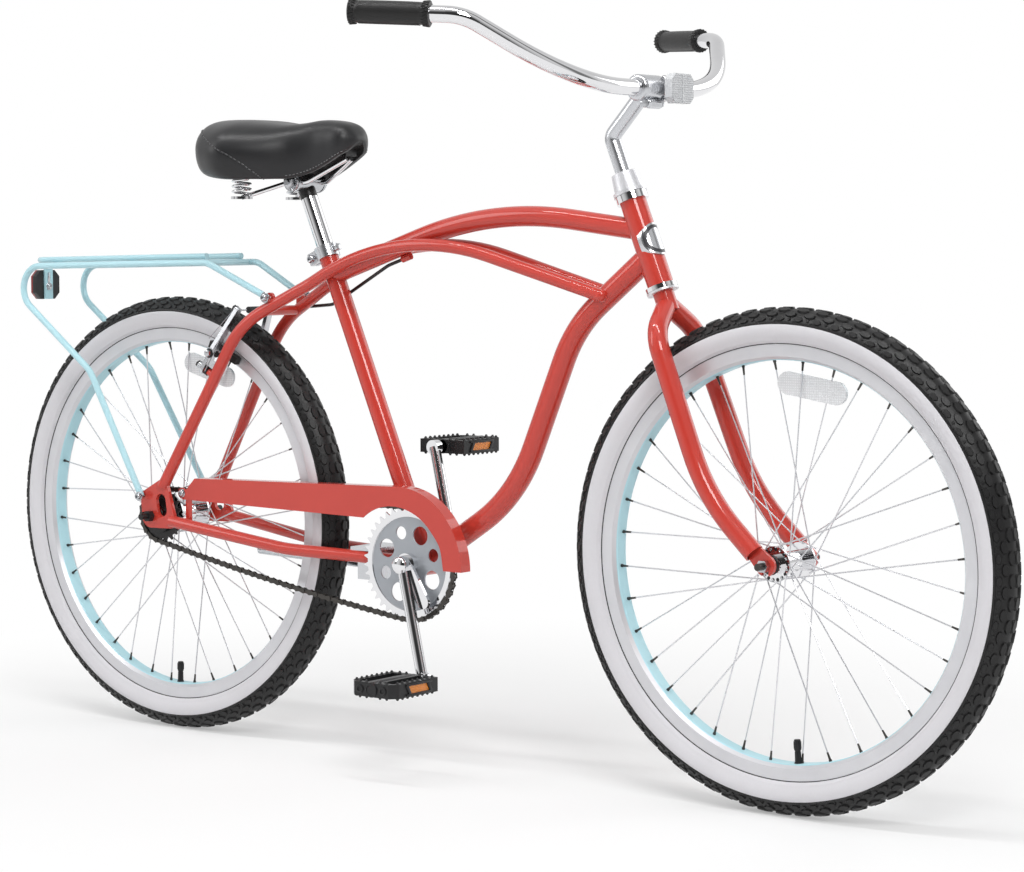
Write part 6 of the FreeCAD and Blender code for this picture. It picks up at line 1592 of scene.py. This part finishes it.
    def cover(self) -> None:
        """Crowned vinyl cover, hollow under the nose, with stitched side seams and hem."""
        mould = Mould()
        made = bmesh.ops.create_uvsphere(mould.mesh, u_segments=88, v_segments=72, radius=1.0)
        for vert in made["verts"]:
            along = (1 - max(-1.0, min(1.0, vert.co.z))) / 2
            if math.hypot(vert.co.x, vert.co.y) < 1e-6:
                _, floor, _, _ = self.section(along)
                vert.co = Vector((self.sizes.rear + along * self.sizes.length, 0.0, floor))
                continue
            turn = math.atan2(vert.co.y, vert.co.x) * 2 / math.pi
            vert.co = self.surface(along, turn + 4 if turn < -1 else turn)
        for face in mould.mesh.faces:
            middle = face.calc_center_median()
            along = min(1.0, max(0.0, (middle.x - self.sizes.rear) / self.sizes.length))
            half, floor, _, ceiling = self.section(along)
            inside = middle.z > floor + 0.0008 and abs(middle.y) < half * self.sizes.foot - self.sizes.lip * 0.6
            face.material_index = 1 if inside and middle.z < ceiling + 0.0006 else 0
        for side in SIDES.values():
            self.stitched(mould, self.sizes.seam, side, 30, 0.0010)
            hem = tuple((0.60 + 0.37 * share / 10, 0.05) for share in range(11))
            self.stitched(mould, hem, side, 20, 0.0)
        item = mould.piece("saddle_cover", "saddle",
                           [SADDLE_VINYL, LINING, THREAD], angle=50.0)
        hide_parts("saddle_cushion")

    def stitched(self, mould: Mould, path: Sequence[Pair], side: int, count: int, cord: float) -> None:
        """Row of stitches along a seam, on a raised cord if one is given.

        Args:
            mould: Mesh that the seam joins.
            path: Share of the length and of the height at points of the seam.
            side: Sign of Y.
            count: Number of stitches.
            cord: Radius of the cord under the stitches, or zero.
        """
        points = []
        for index in range(count * 2 + 1):
            share = index / (count * 2) * (len(path) - 1)
            place = min(int(share), len(path) - 2)
            part = share - place
            along, height = (path[place][item] + (path[place + 1][item] - path[place][item]) * part for item in (0, 1))
            points.append(self.flank(along, height, side))
        for index, (first, last) in enumerate(zip(points, points[1:])):
            if cord:
                mould.bar(first, last, cord, 8)
            if index % 2:
                lift = Y_AXIS * (side * (cord * 0.8 + 0.0002)) + Z_AXIS * (cord * 0.4)
                mould.bar(first + lift, last + lift, 0.0005, 6, material=2)

    def clamp(self) -> None:
        """Serrated clamp discs and nuts beside the post."""
        mould = Mould()
        sizes = self.sizes
        for side in SIDES.values():
            out = Y_AXIS * side
            for gap, radius in sizes.clamp_discs:
                mould.washer(sizes.clamp + out * gap, out, radius, sizes.clamp_disc)
                foot = sizes.clamp + out * (gap + sizes.clamp_disc)
                for index in range(sizes.clamp_teeth):
                    spoke = Matrix.Rotation(math.tau * index / sizes.clamp_teeth, 3, Y_AXIS) @ X_AXIS
                    mould.bar(foot + spoke * (radius * 0.72), foot + spoke * (radius * 0.97), 0.0005, 4)
            mould.hexagon(sizes.clamp + out * sizes.clamp_nut, out, 0.0090, 0.0065)
            end = sizes.clamp + out * (sizes.clamp_nut + 0.0065)
            mould.bar(end, end + out * 0.0035, 0.0040, 16)
        mould.piece("saddle_clamp_nuts", "seatpost", [STEEL])


# Studio
@dataclass(frozen=True)
class Lamp:
    """A softbox: its middle, its width and height, and its power in watts."""

    name: str
    place: Triple
    wide: float
    high: float
    power: float


@dataclass(frozen=True)
class StudioSizes:
    """Camera, softboxes, floor and surroundings.

    The floor fades to white between two distances from the bicycle's middle. A stop of the surroundings gives its
    place from the far side of the room to the dark side, and its brightness.
    """

    camera: Vector = point(2.4293, -3.0633, 0.7580)
    target: Vector = point(0.0955, 0.0, 0.4786)
    roll: float = -0.09
    lens: float = 97.0
    sensor: float = 36.0
    sight: float = 60.0
    lamp_target: Vector = point(0.0, 0.0, 0.45)
    lamps: tuple[Lamp, ...] = (
        Lamp("key_softbox", (2.6, -2.2, 3.0), 1.4, 1.0, 56.0),
        Lamp("left_softbox", (-2.6, -2.4, 2.2), 1.2, 2.0, 24.0),
        Lamp("top_strip", (0.1, -0.9, 3.2), 3.4, 0.14, 40.0),
        Lamp("back_softbox", (1.2, 3.0, 1.8), 2.4, 1.6, 20.0),
    )
    floor_half: float = 14.0
    floor_colour: Colour = (0.88, 0.88, 0.88)
    floor_roughness: float = 0.9
    fade_from: Pair = (0.5, 1.6)
    fade_to: Pair = (0.35, 1.0)
    white: Colour = (1.0, 1.0, 1.0)
    soft_light: float = 0.50
    dark_side: Vector = point(0.604, -0.793, 0.02)
    stops: tuple[Pair, ...] = (
        (0.0, 0.80), (0.30, 0.66), (0.46, 0.80), (0.53, 0.20), (0.60, 0.20), (0.66, 0.76), (0.78, 0.62),
        (0.87, 0.28), (0.915, 0.05), (1.0, 0.03),
    )


class Studio:
    """White floor, soft light and the camera at the photograph's angle."""

    def __init__(self) -> None:
        """Takes the sizes of the studio."""
        self.sizes = StudioSizes()

    def build(self) -> None:
        """Makes the camera, floor, world and lamps."""
        self.camera()
        self.floor()
        self.world()
        for lamp in self.sizes.lamps:
            self.lamp(lamp)
        bpy.context.scene.view_settings.view_transform = "Standard"

    def camera(self) -> None:
        """Camera at the photograph's place."""
        data = bpy.data.cameras.new("camera")
        data.lens = self.sizes.lens
        data.sensor_width = self.sizes.sensor
        data.clip_end = self.sizes.sight
        item = bpy.data.objects.new("camera", data)
        item.location = self.sizes.camera
        look = (self.sizes.target - self.sizes.camera).to_track_quat("-Z", "Y")
        turn = Matrix.Rotation(math.radians(self.sizes.roll), 4, "Z")
        item.rotation_euler = (look.to_matrix().to_4x4() @ turn).to_euler()
        bpy.context.scene.collection.objects.link(item)
        bpy.context.scene.camera = item

    def floor(self) -> None:
        """Pale floor that fades to white for the camera, mirrors and glass, away from the bicycle."""
        mesh = bmesh.new()
        bmesh.ops.create_grid(mesh, x_segments=1, y_segments=1, size=self.sizes.floor_half)
        data = bpy.data.meshes.new("floor")
        mesh.to_mesh(data)
        mesh.free()
        item = bpy.data.objects.new("floor", data)
        bpy.context.scene.collection.objects.link(item)
        shader = Shader("floor")
        shader.surface.inputs["Base Color"].default_value = rgba(self.sizes.floor_colour)
        shader.surface.inputs["Roughness"].default_value = self.sizes.floor_roughness
        shader.surface.inputs["Specular IOR Level"].default_value = 0.0
        far = shader.length(shader.position(Vector(), X_AXIS), shader.position(Vector(), Y_AXIS))
        fade = shader.spread(far, self.sizes.fade_from, self.sizes.fade_to, interpolation_type="SMOOTHSTEP")
        path = shader.add("LightPath").outputs
        direct = shader.maths("MAXIMUM", path["Is Camera Ray"], path["Is Glossy Ray"])
        seen = shader.maths("MAXIMUM", direct, path["Is Transmission Ray"])
        glow = shader.add("Emission").outputs["Emission"]
        light = shader.mixed(shader.maths("MULTIPLY", fade, seen), shader.surface.outputs["BSDF"], glow)
        shader.wire(light, shader.tree.nodes["Material Output"].inputs["Surface"])
        data.materials.append(shader.material)

    def world(self) -> None:
        """White surroundings; mirrors show a room with a dark side instead."""
        world = bpy.data.worlds.new("studio")
        bpy.context.scene.world = world
        world.use_nodes = True
        sizes = self.sizes
        graph = Graph(world.node_tree)
        ground = graph.tree.nodes["Background"]
        ground.inputs["Color"].default_value = rgba(sizes.white)
        dot = graph.add("VectorMath", {1: sizes.dark_side.normalized()}, operation="DOT_PRODUCT")
        graph.wire(graph.add("TexCoord").outputs["Generated"], dot.inputs[0])
        ramp = graph.add("ValToRGB")
        elements = ramp.color_ramp.elements
        elements[0].position, elements[1].position = sizes.stops[0][0], sizes.stops[-1][0]
        for place, _ in sizes.stops[1:-1]:
            elements.new(place)
        for element, (_, value) in zip(elements, sizes.stops):
            element.color = (value, value, value, 1.0)
        graph.wire(graph.spread(dot.outputs["Value"], (-1.0, 1.0)), ramp.inputs["Fac"])
        mirror = graph.add("Background")
        graph.wire(ramp.outputs["Color"], mirror.inputs["Color"])
        soft = graph.add("Background", {"Color": rgba(sizes.white), "Strength": sizes.soft_light})
        path = graph.add("LightPath").outputs
        other = graph.mixed(path["Is Glossy Ray"], soft.outputs["Background"], mirror.outputs["Background"])
        clear = graph.maths("MAXIMUM", path["Is Camera Ray"], path["Is Transmission Ray"])
        light = graph.mixed(clear, other, ground.outputs["Background"])
        graph.wire(light, graph.tree.nodes["World Output"].inputs["Surface"])

    def lamp(self, lamp: Lamp) -> None:
        """Softbox that faces the bicycle."""
        data = bpy.data.lights.new(lamp.name, "AREA")
        data.shape = "RECTANGLE"
        data.size = lamp.wide
        data.size_y = lamp.high
        data.energy = lamp.power
        item = bpy.data.objects.new(lamp.name, data)
        item.location = lamp.place
        aim = self.sizes.lamp_target - Vector(lamp.place)
        item.rotation_euler = aim.to_track_quat("-Z", "Y").to_euler()
        bpy.context.scene.collection.objects.link(item)


def main() -> None:
    """Builds the studio, dresses the CAD nodes and adds the detailed pieces."""
    logging.basicConfig(level=logging.INFO, format="%(name)s: %(message)s")
    Studio().build()
    crank = math.radians(17.5)
    reach = Vector((math.sin(crank) * 0.165, 0.0, -math.cos(crank) * 0.165))
    assemblies: list[Assembly] = [
        FrameSet(),
        Wheel("front", FRONT_AXLE, "front_wheel", -86.0, HubSizes(0.0235, 0.031, 0.003, 0.014, 0.042, 0.042)),
        Wheel("rear", REAR_AXLE, "rear_wheel", -91.0, HubSizes(0.033, 0.028, 0.003, 0.015, 0.0539, 0.048)),
        Cockpit(),
        Drive(),
        Pedal("right", -1, BOTTOM_BRACKET + reach),
        Pedal("left", 1, BOTTOM_BRACKET - reach),
        Rack(),
        Brake(),
        Saddle(),
    ]
    for assembly in assemblies:
        assembly.dress()
        assembly.build()


if __name__ == "__main__":
    main()
